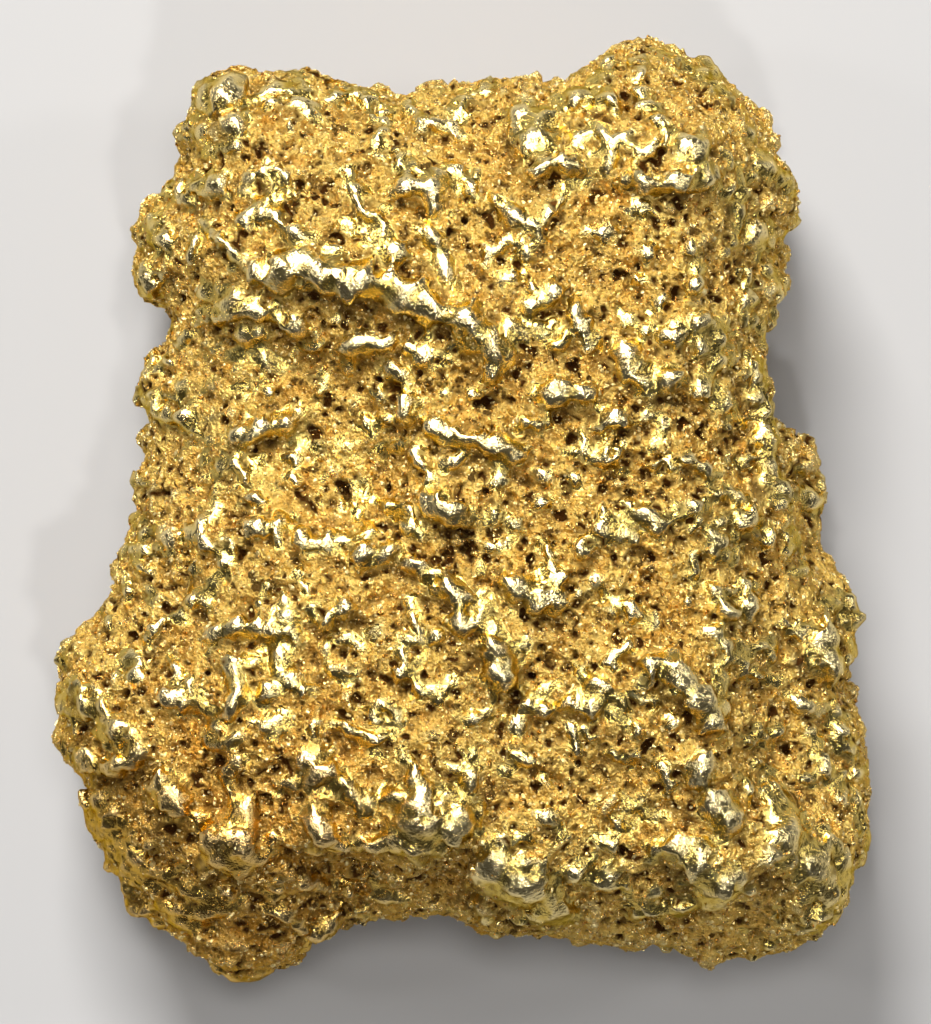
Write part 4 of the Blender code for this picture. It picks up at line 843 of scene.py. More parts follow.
@dataclass(frozen=True)
class Streaks:
    """Fine, straight streaks in the basin on the left.

    Lengths are in mm. The turn is its mean and its spread, in degrees.
    """

    count: int = 130
    turn: Pair = (38, 12)
    length: Pair = (0.25, 0.8)
    width: float = 0.11
    height: Pair = (0.05, 0.1)
    polish: float = 0.4

    def draw(self, maker: random.Random) -> tuple[Crest, ...]:
        """Draws them by chance.

        Args:
            maker: the source of chance.

        Returns:
            The crests, with points in plan.
        """
        made: list[Crest] = []
        low, high = np.min(BASIN, axis=0), np.max(BASIN, axis=0)
        while len(made) < self.count:
            start = (maker.uniform(low[0], high[0]), maker.uniform(low[1], high[1]))
            turn = math.radians(maker.gauss(*self.turn))
            length = maker.uniform(*self.length)
            end = (start[0] + math.cos(turn) * length, start[1] + math.sin(turn) * length)
            if inside(np.array([start]), BASIN)[0] > 0:
                height = maker.uniform(*self.height)
                made.append(Crest(self.width, height, (start, end), self.polish))
        return tuple(made)


@dataclass(frozen=True)
class Strays:
    """Ridges that wander over the sides and the back, with lengths in mm."""

    count: int = 560
    spread: Triple = (10, 11, 4)
    faces_front: float = 0.45
    bends: tuple[int, int] = (2, 14)
    bend: float = 0.35
    step: float = 0.18
    least_width: float = 0.16
    added_width: float = 0.4
    slenderness: float = 1.6
    height_to_width: Pair = (0.45, 0.75)
    polish: Triple = (0.25, 0.25, 0.7)

    def draw(self, skin: Skin, maker: random.Random) -> list[Crest]:
        """Draws them by chance.

        Args:
            skin: the surface that they lie on.
            maker: the source of chance.

        Returns:
            The crests, with points in space.
        """
        tree = skin.tree()
        made: list[Crest] = []
        while len(made) < self.count:
            start = Vector([maker.uniform(-side, side) for side in self.spread])
            at, normal, _, _ = tree.find_nearest(start)
            if normal.z > self.faces_front:
                continue
            way = normal.cross(Vector([maker.gauss(0, 1) for _ in range(3)]))
            points = [tuple(at)]
            for _ in range(maker.randrange(*self.bends)):
                way.rotate(Quaternion(normal, maker.gauss(0, self.bend)))
                found, normal, _, _ = tree.find_nearest(at + way.normalized() * self.step)
                way = found - at
                at = found
                points.append(tuple(at))
            width = self.least_width + self.added_width * maker.random() ** self.slenderness
            height = width * maker.uniform(*self.height_to_width)
            made.append(Crest(width, height, tuple(points), maker.choice(self.polish)))
        return made


@dataclass(frozen=True)
class Ripple:
    """A gentle wave along a crest: how strong it is, its pace from point to point, and its shift."""

    strength: float
    pace: float
    shift: float

    def along(self, index: np.ndarray, phase: float) -> np.ndarray:
        """Reads the wave.

        Args:
            index: points of the crest's line.
            phase: where along the wave this crest starts.

        Returns:
            The height of the wave at each of those points, which is below 0 in its troughs.
        """
        return self.strength * np.sin(index * self.pace + self.shift * phase)


@dataclass
class CrestCarver:
    """Raises worn crests on the skin, each on a broad base, with painted shadow in the crease at its
    lower foot.
    """

    # How far and which way the crests rise.
    step: float = 0.05
    lean: float = 0.12
    gain: float = 1.2
    least_gain: float = 0.85
    gain_range: float = 0.3
    steepest: float = 0.12
    flattest: float = 0.5
    # A crest's section, and how that changes along its line.
    downhill: float = 0.88
    uphill: float = 0.7
    roundness: float = 0.45
    round_power: float = 0.9
    gentleness: float = 0.6
    narrowing: float = 0.4
    least_taper: float = 0.3
    short_wave: Ripple = Ripple(0.2, 0.55, 1)
    long_wave: Ripple = Ripple(0.14, 0.19, 2)
    bead: Ripple = Ripple(0.2, 0.37, -1)
    phase_pace: float = 9
    # The base, and the painted shadow in the crease at the lower foot.
    base_width: float = 2.8
    base_downhill: float = 0.4
    base_height: float = 0.55
    foot_at: float = 1.15
    foot_width: float = 0.4
    foot_shadow: float = 0.55
    shadow_height: float = 0.35
    # The kinds of crest besides the drawn ones.
    layer_width: float = 0.2
    layer_height: float = 0.16
    layer_polish: float = 0.25
    lobe_polish: float = 0.6
    fillers: Fillers = Fillers()
    streaks: Streaks = Streaks()
    strays: Strays = Strays()

    def carve(self, skin: Skin, maker: random.Random) -> tuple[np.ndarray, np.ndarray]:
        """Raises every crest.

        Args:
            skin: the surface, which is changed.
            maker: the source of chance.

        Returns:
            How much of a worn crest each vertex is, and how much painted shadow falls on it at a crest's
            lower foot, both from 0 to 1.
        """
        places = skin.places()
        normals = skin.normals()
        lift, base, worn, foot_shadow = np.zeros((4, len(places)))
        front = skin.on_front()
        level = np.clip((normals[:, 2] - self.steepest) / (self.flattest - self.steepest), 0, 1)
        seen = places[front][:, :2]
        for crest in self._front_crests(maker):
            near, share, shoulder, foot = self._share(seen, crest)
            near = front[near]
            share, shoulder, foot = (part * level[near] for part in (share, shoulder, foot))
            # Painted shadow in the crease at the lower foot, fuller under higher crests.
            foot_shadow[near] = np.maximum(foot_shadow[near], foot * min(1.0, crest.height / self.shadow_height))
            gain = self.least_gain + self.gain_range * maker.random()
            lift[near] = np.maximum(lift[near], share * crest.height * gain)
            base[near] = np.maximum(base[near], shoulder * crest.height * self.base_height)
            worn[near] = np.maximum(worn[near], share * crest.polish)
        for crest in self.strays.draw(skin, maker):
            near, share, _, _ = self._share(places, crest)
            lift[near] = np.maximum(lift[near], share * crest.height)
            worn[near] = np.maximum(worn[near], share * crest.polish)
        way = normals + np.array([0.0, -self.lean, 0.0])
        way /= np.linalg.norm(way, axis=1)[:, None]
        skin.move(places + way * (lift * self.gain + base)[:, None])
        return worn, foot_shadow * self.foot_shadow * (1 - worn)

    def _front_crests(self, maker: random.Random) -> tuple[Crest, ...]:
        """Gathers the drawn crests of the front, its lobes and layers, and the small ones.

        Args:
            maker: the source of chance.

        Returns:
            The crests, with points in plan.
        """
        lobes = tuple(Crest(*lobe, self.lobe_polish) for lobe in LOBES)
        layers = tuple(
            Crest(self.layer_width, self.layer_height, line, self.layer_polish) for line in LAYERS
        )
        strewn = self.fillers.draw(maker) + self.streaks.draw(maker)
        return FRONT_CRESTS + lobes + layers + strewn

    def _share(self, places: np.ndarray, crest: Crest) -> tuple[np.ndarray, ...]:
        """How much of one crest each place near it gets: 1 on its line and 0 off it.

        Args:
            places: one row each, in plan or in space as the crest's points are.
            crest: the crest.

        Returns:
            The indices of the places near the crest, and the share of each in the crest itself,
            in the broad base that the crest stands on, and in the crease at its lower foot.
        """
        line = crest.line(self.step)
        reach = crest.width * self.base_width
        high = line.max(axis=0)
        low = line.min(axis=0)
        near = np.flatnonzero(((places > low - reach) & (places < high + reach)).all(axis=1))
        if not len(near):
            return (near,) + (np.zeros(0),) * 3
        index, distance = nearest(places[near], line)
        taper = self._taper(index, len(line))
        downhill = places[near, 1] < line[index, 1]
        phase = line[0, 0] * self.phase_pace
        wave = 1 + self.short_wave.along(index, phase) + self.long_wave.along(index, phase)
        widening = (1 - self.narrowing) + self.narrowing * taper
        half = crest.width * np.where(downhill, self.downhill, self.uphill) * wave * widening
        off = np.clip(distance / half, 0, 1)
        steep = self.roundness * (1 - off**2) ** self.round_power + (1 - self.roundness) * (1 - off)
        round_top = 0.5 + 0.5 * np.cos(math.pi * off)
        gentle = (1 - self.gentleness) * steep + self.gentleness * round_top
        wide = np.clip(distance / (reach * np.where(downhill, self.base_downhill, 1.0)), 0, 1)
        shoulder = taper * (1 - wide**2) ** 2
        crease = np.exp(-(((distance / half - self.foot_at) / self.foot_width) ** 2))
        foot = np.where(downhill, crease, 0) * taper
        beads = 1 + self.bead.along(index, phase)
        share = np.clip(taper * beads * np.where(downhill, steep, gentle), 0, 1)
        return near, share, shoulder, foot

    def _taper(self, index: np.ndarray, count: int) -> np.ndarray | float:
        """How much lower and narrower a crest is towards its ends.

        Args:
            index: points of the crest's line.
            count: how many points the line has.

        Returns:
            1 in the middle and less at the ends, for each of the points.
        """
        if count <= 3:
            return 1.0
        along = index / (count - 1)
        return np.maximum(self.least_taper, (1 - np.abs(2 * along - 1) ** 4) ** 0.5)


@dataclass
class PitCarver:
    """Sinks pits into the skin."""

    small_on_front: int = 1500
    small_all_round: int = 2600
    smallest: float = 0.045
    largest: float = 0.13
    largest_stray: float = 0.3
    front_thinning: float = 2.5
    stray_thinning: float = 3
    across: Pair = (-10.3, 10.3)
    up: Pair = (-11.7, 11.7)
    drawn_scale: float = 0.66
    reach: float = 1.5
    small_depth: float = 1.6
    large_depth: float = 2.1
    ragged_size: float = 0.24
    ragged_seeds: tuple[int, int] = (11, 13)
    raggedness: float = 0.55
    steepest: float = 0.35

    def carve(self, skin: Skin, worn: np.ndarray, maker: random.Random) -> np.ndarray:
        """Sinks every pit, and spares the worn crests.

        Args:
            skin: the surface, which is changed.
            worn: how much of a crest each vertex is.
            maker: the source of chance.

        Returns:
            How deep in a pit each vertex is, from 0 to 1.
        """
        places = skin.places()
        normals = skin.normals()
        depth = np.zeros(len(places))
        hollow = np.zeros(len(places))
        way = np.zeros_like(places)
        front = np.flatnonzero((normals[:, 2] > self.steepest) & (places[:, 2] > 0))
        everywhere = places + self._ragged(places)
        seen = everywhere[front][:, :2]
        drilled = [(pit, seen, front) for pit in self._front_pits(maker)]
        all_round = np.arange(len(places))
        drilled += [(pit, everywhere, all_round) for pit in self._stray_pits(places, maker)]
        for pit, found_in, indices in drilled:
            near, share = self._share(found_in, pit)
            if not len(near):
                continue
            near = indices[near]
            small = pit.radius < self.largest
            share = share * (1 - worn[near]) if small else share
            sunk = share * pit.radius * (self.small_depth if small else self.large_depth)
            axis = normals[near].mean(axis=0)
            deeper = sunk > depth[near]
            way[near[deeper]] = axis / max(float(np.linalg.norm(axis)), 1e-6)
            depth[near] = np.maximum(depth[near], sunk)
            hollow[near] = np.maximum(hollow[near], share)
        skin.move(places - way * depth[:, None])
        return hollow

    def _share(self, places: np.ndarray, pit: Hollow) -> tuple[np.ndarray, np.ndarray]:
        """How deep in one pit each place near it is: 1 in its middle and 0 outside it.

        Args:
            places: one row each, in plan or in space as the pit's centre is.
            pit: the pit.

        Returns:
            The indices of the places near the pit, and the share of each.
        """
        off = np.abs(places - np.array(pit.centre))
        near = np.flatnonzero((off < pit.radius * self.reach).all(axis=1))
        outward = np.linalg.norm(places[near] - np.array(pit.centre), axis=1) / pit.radius
        return near, np.sqrt(np.clip(1 - outward**2, 0, 1))

    def _ragged(self, places: np.ndarray) -> np.ndarray:
        """How far each place is shifted before the pits are drawn, which makes them ragged.

        Args:
            places: one row each.

        Returns:
            One shift for each place.
        """
        x, y = (fractal_noise(places, self.ragged_size, octaves=3, seed=s) for s in self.ragged_seeds)
        return np.column_stack([x, y, (x - y) / 2]) * self.raggedness

    def _radius(self, largest: float, thinning: float, maker: random.Random) -> float:
        """Picks a pit's radius, more often a small one.

        Args:
            largest: the most that it can be.
            thinning: how much rarer the large ones are.
            maker: the source of chance.

        Returns:
            The radius in mm.
        """
        return self.smallest + (largest - self.smallest) * maker.random() ** thinning

    def _front_pits(self, maker: random.Random) -> list[Hollow]:
        """The drawn pits of the front, and small ones strewn between them.

        Args:
            maker: the source of chance.

        Returns:
            The pits, with centres in plan.
        """
        made = [Hollow((x, y), radius * self.drawn_scale) for x, y, radius in PITS]
        for _ in range(self.small_on_front):
            radius = self._radius(self.largest, self.front_thinning, maker)
            made.append(Hollow((maker.uniform(*self.across), maker.uniform(*self.up)), radius))
        return made

    def _stray_pits(self, places: np.ndarray, maker: random.Random) -> list[Hollow]:
        """Small pits over the sides and the back.

        Args:
            places: the skin's vertices, one row each.
            maker: the source of chance.

        Returns:
            The pits, with centres in space.
        """
        made = []
        for _ in range(self.small_all_round):
            centre = places[maker.randrange(len(places))]
            radius = self._radius(self.largest_stray, self.stray_thinning, maker)
            made.append(Hollow(tuple(centre), radius))
        return made


@dataclass
class GroundCarver:
    """Gives the ground between the crests its knobs and crumbs."""

    lump_size: float = 2.6
    lump_height: float = 0.24
    lump_seed: int = 1
    faces_front: float = 0.5
    lumps_on_front: float = 0.6
    more_on_back: float = 1.0
    flow_angle: float = -24.0
    flow_size: Triple = (0.95, 0.42, 0.6)
    flow_height: float = 0.18
    flow_seed: int = 17
    calm_basin: float = 0.6
    ledge_size: float = 0.9
    ledge_wander: float = 0.14
    ledge_seeds: tuple[int, int] = (31, 37)
    rim_height: float = 2.0
    bareness: float = 1.5
    knob_size: float = 0.42
    knob_height: float = 0.09
    knob_seed: int = 5
    knobs_worn_off: float = 0.5
    crumb_size: float = 0.17
    crumb_height: float = 0.09
    sponge_size: float = 0.26
    sponge_depth: float = 0.2
    sponge_share: float = 0.27
    sponge_slope: float = 0.22
    sponge_seed: int = 23

    def swell(self, skin: Skin) -> None:
        """Raises broad swells over the whole nugget, stronger on the sides and the back.

        Args:
            skin: the surface, which is changed.
        """
        normals = skin.normals()
        swell = fractal_noise(skin.places(), self.lump_size, octaves=3, seed=self.lump_seed)
        swell *= self.lump_height
        share = np.where(normals[:, 2] > self.faces_front, self.lumps_on_front, 1.0)
        swell *= share + np.where(normals[:, 2] < 0, self.more_on_back, 0.0)
        skin.move(skin.places() + normals * swell[:, None])

    def lower(self, skin: Skin) -> None:
        """Lowers the terraces of the front, each behind its ledge.

        Args:
            skin: the surface, which is changed.
        """
        places = skin.places()
        front = np.flatnonzero(places[:, 2] > 0)
        shift = self._wander(places[front])
        for drop, slope, edge in TERRACES:
            share = np.clip(0.5 + inside(places[front][:, :2] + shift, edge) / slope, 0, 1)
            share = share**2 * (3 - 2 * share) * np.clip(places[front, 2] / self.rim_height, 0, 1)
            places[front, 2] -= share * drop
        skin.move(places)

    def _wander(self, places: np.ndarray) -> np.ndarray:
        """How far each place is shifted before the ledges are drawn, so that they wander.

        Args:
            places: one row each.

        Returns:
            One shift in plan for each place.
        """
        shifts = [fractal_noise(places, self.ledge_size, octaves=2, seed=s) for s in self.ledge_seeds]
        return np.column_stack(shifts) * self.ledge_wander

    def flow(self, skin: Skin) -> None:
        """Raises low ridges that run with the grain of the front, down to the right.

        Args:
            skin: the surface, which is changed.
        """
        places = skin.places()
        turn = math.radians(self.flow_angle)
        along = places[:, 0] * math.cos(turn) + places[:, 1] * math.sin(turn)
        across = places[:, 1] * math.cos(turn) - places[:, 0] * math.sin(turn)
        turned = np.column_stack([along, across, places[:, 2]]) / np.array(self.flow_size)
        ridges = 1 - 2 * np.abs(fractal_noise(turned, 1.0, octaves=3, seed=self.flow_seed))
        in_basin = np.clip(0.5 + inside(places, BASIN), 0, 1)
        calm = 1 - self.calm_basin * in_basin * (places[:, 2] > 0)
        skin.move(places + skin.normals() * (ridges * self.flow_height * calm)[:, None])

    def roughen(self, skin: Skin, worn: np.ndarray) -> np.ndarray:
        """Raises knobs and crumbs and opens the sponge, and spares the worn crests.

        Args:
            skin: the surface, which is changed.
            worn: how much of a crest each vertex is.

        Returns:
            How deep in a hole of the sponge each vertex is, from 0 to 1.
        """
        places = skin.places()
        bare = (1 - worn) ** self.bareness
        grain = fractal_noise(places, self.knob_size, octaves=4, seed=self.knob_seed)
        grain *= self.knob_height
        grain *= 1 - self.knobs_worn_off * worn
        grain += crumb_noise(places, self.crumb_size) * self.crumb_height * bare
        sponge = fractal_noise(places, self.sponge_size, octaves=3, seed=self.sponge_seed)
        holes = np.clip((sponge - self.sponge_share) / self.sponge_slope, 0, 1) * bare
        grain -= holes * self.sponge_depth
        skin.move(places + skin.normals() * grain[:, None])
        return holes


@dataclass
class NuggetSkin:
    """The whole nugget's surface, from its blank to its marks."""

    blank: Blank = field(default_factory=Blank)
    crests: CrestCarver = field(default_factory=CrestCarver)
    pits: PitCarver = field(default_factory=PitCarver)
    ground: GroundCarver = field(default_factory=GroundCarver)
    worn_off: float = 0.55
    closing_voxel: float = 0.062
    triangles: int = 198000
    thinning_on_front: float = 0.45
    thinning_factor: float = 0.0015
    flat_slack: float = 0.03
    edge_rounds: int = 10
    depth_rounds: int = 90
    shaded_from: float = 0.6
    smooth_from: float = 0.25

    def build(self, maker: random.Random) -> bpy.types.Object:
        """Carves the nugget and sets it in its place.

        Args:
            maker: the source of chance.

        Returns:
            The finished piece, without its finish.
        """
        skin = self.blank.make()
        log.info("blank: %d faces", len(skin.mesh.polygons))
        self.ground.lower(skin)
        self.ground.swell(skin)
        self.ground.flow(skin)
        worn, foot_shadow = self.crests.carve(skin, maker)
        log.info("crests carved")
        hollow = self.pits.carve(skin, worn, maker)
        log.info("pits carved")
        hollow = np.maximum(hollow, self.ground.roughen(skin, worn))
        # The finish darkens the painted shadow at the crests' feet in the same way as the pits.
        hollow = np.maximum(hollow, foot_shadow)
        self._wear_flat(skin, self.worn_off)
        carved = skin.places()
        log.info("ground carved")
        skin.remesh(self.closing_voxel)
        log.info("closed: %d faces", len(skin.mesh.polygons))
        self._thin_out(skin)
        log.info("thinned: %d faces", len(skin.mesh.polygons))
        self._wear_flat(skin, self.flat_slack)
        self._keep_marks(skin, carved, worn, hollow)
        self._set_in_place(skin)
        skin.smooth_where_worn(self.smooth_from)
        return skin.body

    @staticmethod
    def _wear_flat(skin: Skin, height: float) -> None:
        """Levels everything near the lowest point, as where the nugget was worn.

        Args:
            skin: the surface, which is changed.
            height: how far above the lowest point it is levelled, in mm.
        """
        places = skin.places()
        level = places[:, 2].min() + height
        places[:, 2] = np.maximum(places[:, 2], level)
        skin.move(places)

    def _thin_out(self, skin: Skin) -> None:
        """Brings the surface down to its triangles, with more of them left on the front.

        Args:
            skin: the surface, which is changed.
        """
        group = skin.body.vertex_groups.new(name="thin")
        seen = (skin.normals()[:, 2] > 0.0) & (skin.places()[:, 2] > 0.0)
        group.add(np.flatnonzero(seen).tolist(), self.thinning_on_front, "REPLACE")
        group.add(np.flatnonzero(~seen).tolist(), 1.0, "REPLACE")
        skin.apply(
            "DECIMATE",
            decimate_type="COLLAPSE",
            ratio=self.triangles / (2 * len(skin.mesh.polygons)),
            use_collapse_triangulate=True,
            vertex_group=group.name,
            vertex_group_factor=self.thinning_factor,
        )
        skin.body.vertex_groups.clear()

    def _keep_marks(
        self, skin: Skin, carved: np.ndarray, worn: np.ndarray, hollow: np.ndarray
    ) -> None:
        """Stores what the finish reads at each vertex.

        Args:
            skin: the finished surface.
            carved: the vertices of the surface as it was carved, one row each.
            worn: how much of a crest each of those was.
            hollow: how deep in a pit each of those was, and how far in the painted shadow at a crest's
                foot.
        """
        tree = kdtree.KDTree(len(carved))
        for index, place in enumerate(carved.tolist()):
            tree.insert(place, index)
        tree.balance()
        places = skin.places()
        source = np.fromiter((tree.find(p)[1] for p in places.tolist()), int, len(places))
        skin.keep(Mark.WORN, worn[source])
        skin.keep(Mark.HOLLOW, hollow[source])
        skin.keep(Mark.EDGE, edge_of(skin, self.edge_rounds))
        skin.keep(Mark.DEPTH, edge_of(skin, self.depth_rounds))
        # How far each vertex faces away from the front, which the finish darkens with painted shade.
        upright = (self.shaded_from - skin.normals()[:, 2]) / self.shaded_from
        skin.keep(Mark.SHADE, np.clip(upright, 0, 1))

    @staticmethod
    def _set_in_place(skin: Skin) -> None:
        """Sets the nugget to the solid's box: middle on middle in plan, and both on the floor.

        Args:
            skin: the surface, which is changed.
        """
        places = skin.places() * METRES_PER_MM
        low, high = (np.array(corner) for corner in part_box("nugget"))
        middle = (places.max(axis=0) + places.min(axis=0)) / 2
        target = (low + high) / 2
        places[:, :2] += (target - middle)[:2]
        places[:, 2] += low[2] - places[:, 2].min()
        skin.move(places)


def edge_of(skin: Skin, rounds: int) -> np.ndarray:
    """How far each vertex stands out of its surroundings, or lies sunk in them.

    Args:
        skin: the surface.
        rounds: how widely the surroundings reach.

    Returns:
        One value for each vertex, from -1 in a crease to 1 on an edge.
    """
    mesh = skin.mesh
    ends = np.empty(len(mesh.edges) * 2, np.int32)
    mesh.edges.foreach_get("vertices", ends)
    a, b = ends.reshape(-1, 2).T
    places = skin.places()
    count = np.bincount(a, minlength=len(places)) + np.bincount(b, minlength=len(places))
    smooth = places.copy()
    for _ in range(rounds):
        total = np.empty_like(smooth)
        for axis in range(3):
            column = smooth[:, axis]
            total[:, axis] = np.bincount(a, column[b], len(places))
            total[:, axis] += np.bincount(b, column[a], len(places))
        smooth = (1 - EVENING) * smooth + EVENING * total / count[:, None]
    stands_out = ((places - smooth) * skin.normals()).sum(axis=1)
    return np.clip(stands_out / (2 * stands_out.std()), -1, 1)


@dataclass(frozen=True)
class GrainBatch:
    """Grains of one kind: their name, number of pieces, shape, and radius in mm."""

    name: str
    pieces: int
    sharp: bool
    smallest: float
    largest: float


@dataclass
class CrumbField:
    """Grains of gold, half sunk in the ground between the crests."""

    batches: tuple[GrainBatch, ...] = (
        GrainBatch("crumbs", 2, False, 0.034, 0.09),
        GrainBatch("dust", 2, True, 0.022, 0.05),
    )
    triangles_each: int = 196000
    smallness: float = 1.8
    stretch: Pair = (0.55, 1.25)
    raggedness: Pair = (0.75, 1.25)
    sunk: float = 0.3
    faces_front: float = 0.1
    front_weight: float = 2.4
    barest: float = 0.3
    bare_range: float = 0.4
    fewer_in_hollows: float = 0.8
    more_in_creases: float = 2

    def build(self, nugget: bpy.types.Object) -> list[bpy.types.Object]:
        """Strews the crumbs over the finished nugget.

        Args:
            nugget: the finished skin, in metres.

        Returns:
            The pieces, each many crumbs joined in one mesh.
        """
        chance = np.random.default_rng(SEED)
        made = []
        for batch in self.batches:
            corners, faces = self._one_grain(batch.sharp)
            count = self.triangles_each // len(faces)
            spots, normals = self._spots(nugget, count * batch.pieces, chance)
            for number in range(batch.pieces):
                part = slice(number * count, (number + 1) * count)
                name = f"{batch.name}_{number + 1}"
                size = chance.random(count) ** self.smallness * (batch.largest - batch.smallest)
                size = (size + batch.smallest) * METRES_PER_MM
                shapes = self._shapes(size, corners, chance)
                shapes += (spots[part] - normals[part] * (size * self.sunk)[:, None])[:, None, :]
                made.append(self._piece(name, shapes, faces, chance))
        return made

    @staticmethod
    def _one_grain(sharp: bool) -> tuple[np.ndarray, np.ndarray]:
        """Makes the grain that others are drawn from.

        Args:
            sharp: whether it has eight faces like a crystal, or twenty.

        Returns:
            Its corners, and its faces as the indices of their corners.
        """
        grain = bmesh.new()
        if sharp:
            bmesh.ops.create_uvsphere(grain, u_segments=4, v_segments=2, radius=1.0)
        else:
            bmesh.ops.create_icosphere(grain, subdivisions=1, radius=1.0)
        corners = np.array([vertex.co[:] for vertex in grain.verts])
        faces = np.array([[vertex.index for vertex in face.verts] for face in grain.faces])
        grain.free()
        return corners, faces

    def _spots(
        self, nugget: bpy.types.Object, count: int, chance: np.random.Generator
    ) -> tuple[np.ndarray, np.ndarray]:
        """Picks where the crumbs sit.

        Args:
            nugget: the finished skin.
            count: how many there are.
            chance: the source of chance.

        Returns:
            The spots and the way that the surface faces there, one row each.
        """
        skin = Skin(nugget)
        faces = skin.faces(3)
        places = skin.places()
        a, b, c = places[faces.T]
        across = np.cross(b - a, c - a)
        area = np.linalg.norm(across, axis=1)
        facing = across / np.maximum(area, 1e-18)[:, None]
        bare = 1 - skin.mark(Mark.WORN)[faces].max(axis=1)
        open_ground = 1 - self.fewer_in_hollows * skin.mark(Mark.HOLLOW)[faces].mean(axis=1)
        sunk = np.clip(-skin.mark(Mark.EDGE)[faces].mean(axis=1), 0, 1)
        creases = 1 + self.more_in_creases * sunk
        weight = area * np.clip(bare - self.barest, 0, self.bare_range) * open_ground * creases
        weight *= np.where(facing[:, 2] > self.faces_front, self.front_weight, 1.0)
        picked = chance.choice(len(faces), count, p=weight / weight.sum())
        blend = chance.dirichlet((1.0, 1.0, 1.0), count)
        spots = (places[faces[picked]] * blend[:, :, None]).sum(axis=1)
        return spots, facing[picked]

    def _shapes(
        self, size: np.ndarray, corners: np.ndarray, chance: np.random.Generator
    ) -> np.ndarray:
        """Turns, stretches and roughens many grains, each in its own way.

        Args:
            size: the radius of each grain.
            corners: the corners of the one that they are drawn from.
            chance: the source of chance.

        Returns:
            The corners of each grain, around its own middle.
        """
        count = len(size)
        stretch = chance.uniform(*self.stretch, (count, 1, 3))
        ragged = chance.uniform(*self.raggedness, (count, len(corners), 1))
        grains = corners[None] * stretch * ragged
        turned = np.einsum("nij,nkj->nki", self._turns(count, chance), grains)
        return turned * size[:, None, None]

    @staticmethod
    def _piece(
        name: str, shapes: np.ndarray, faces: np.ndarray, chance: np.random.Generator
    ) -> bpy.types.Object:
        """Joins many grains in one mesh, and gives each a shade.

        Args:
            name: what the piece is called.
            shapes: the corners of each grain.
            faces: the faces of one grain.
            chance: the source of chance.

        Returns:
            The piece.
        """
        count, corners = shapes.shape[:2]
        every_face = faces[None] + (np.arange(count) * corners)[:, None, None]
        mesh = bpy.data.meshes.new(name)
        mesh.from_pydata(shapes.reshape(-1, 3).tolist(), [], every_face.reshape(-1, 3).tolist())
        piece = placed(name, mesh)
        Skin(piece).keep(Mark.SHADE, np.repeat(chance.random(count), corners))
        return piece

    @staticmethod
    def _turns(count: int, chance: np.random.Generator) -> np.ndarray:
        """Makes random turns.

        Args:
            count: how many.
            chance: the source of chance.

        Returns:
            One rotation matrix each.
        """
        drawn = chance.normal(size=(4, count))
        w, x, y, z = drawn / np.linalg.norm(drawn, axis=0)
        rows = [
            [1 - 2 * (y * y + z * z), 2 * (x * y - z * w), 2 * (x * z + y * w)],
            [2 * (x * y + z * w), 1 - 2 * (x * x + z * z), 2 * (y * z - x * w)],
            [2 * (x * z - y * w), 2 * (y * z + x * w), 1 - 2 * (x * x + y * y)],
        ]
        return np.array(rows).transpose(2, 0, 1)


@dataclass(frozen=True)
class Ramp:
    """A change from one range of numbers to another, which stops at both ends."""

    low: float
    high: float
    start: float = 0.0
    end: float = 1.0


@dataclass(frozen=True)
class Noise:
    """Noise: features to a mm, how many finer layers it has, and how strong they are."""

    scale: float
    detail: float
    roughness: float = 0.6


class Graph:
    """A node tree that is being wired."""

    def __init__(self, tree: bpy.types.NodeTree) -> None:
        """Takes over a tree.

        Args:
            tree: the node tree.
        """
        self.tree = tree

    def add(self, kind: str, inputs: dict | None = None, **settings: object) -> bpy.types.Node:
        """Adds a node.

        Args:
            kind: the node's type, without ShaderNode in front.
            inputs: values or sockets for its inputs, by name or by number.
            **settings: the node's own properties.

        Returns:
            The node.
        """
        node = self.tree.nodes.new(f"ShaderNode{kind}")
        for name, value in settings.items():
            setattr(node, name, value)
        for name, value in (inputs or {}).items():
            self.put(node.inputs[name], value)
        return node

    def put(self, socket: bpy.types.NodeSocket, value: object) -> None:
        """Links a socket to an input, or sets the input to a value.

        Args:
            socket: the input.
            value: an output socket, or a plain value.
        """
        if isinstance(value, bpy.types.NodeSocket):
            self.tree.links.new(value, socket)
        else:
            socket.default_value = value

    def mix(self, share: object, low: object, high: object) -> bpy.types.NodeSocket:
        """Mixes two colours.

        Args:
            share: how much of the second there is.
            low: the first colour.
            high: the second colour.

        Returns:
            The mixed colour.
        """
        inputs = {0: share, 6: low, 7: high}
        return self.add("Mix", inputs, data_type="RGBA").outputs[2]

    def math(self, operation: str, a: object, b: object = 0.0) -> bpy.types.NodeSocket:
        """Works out one number from two.

        Args:
            operation: which sum it is.
            a: the first number.
            b: the second number.

        Returns:
            The result, kept between 0 and 1 only where the operation does so itself.
        """
        return self.add("Math", {0: a, 1: b}, operation=operation).outputs[0]

    def span(self, value: object, ramp: Ramp) -> bpy.types.NodeSocket:
        """Maps one range of numbers to another, and stops at its ends.

        Args:
            value: the number.
            ramp: both ranges.

        Returns:
            The mapped number.
        """
        inputs = {0: value, 1: ramp.low, 2: ramp.high, 3: ramp.start, 4: ramp.end}
        return self.add("MapRange", inputs).outputs[0]

    def mark(self, mark: Mark) -> bpy.types.NodeSocket:
        """Reads a mark of the surface.

        Args:
            mark: which mark it is.

        Returns:
            Its value.
        """
        return self.add("Attribute", attribute_name=mark.value).outputs["Fac"]

    def noise(self, places: object, kind: Noise) -> bpy.types.NodeSocket:
        """Adds noise.

        Args:
            places: where it is read.
            kind: what it is like.

        Returns:
            Its value, from 0 to 1.
        """
        inputs = {"Vector": places, "Scale": kind.scale, "Detail": kind.detail}
        return self.add("TexNoise", {**inputs, "Roughness": kind.roughness}).outputs[0]


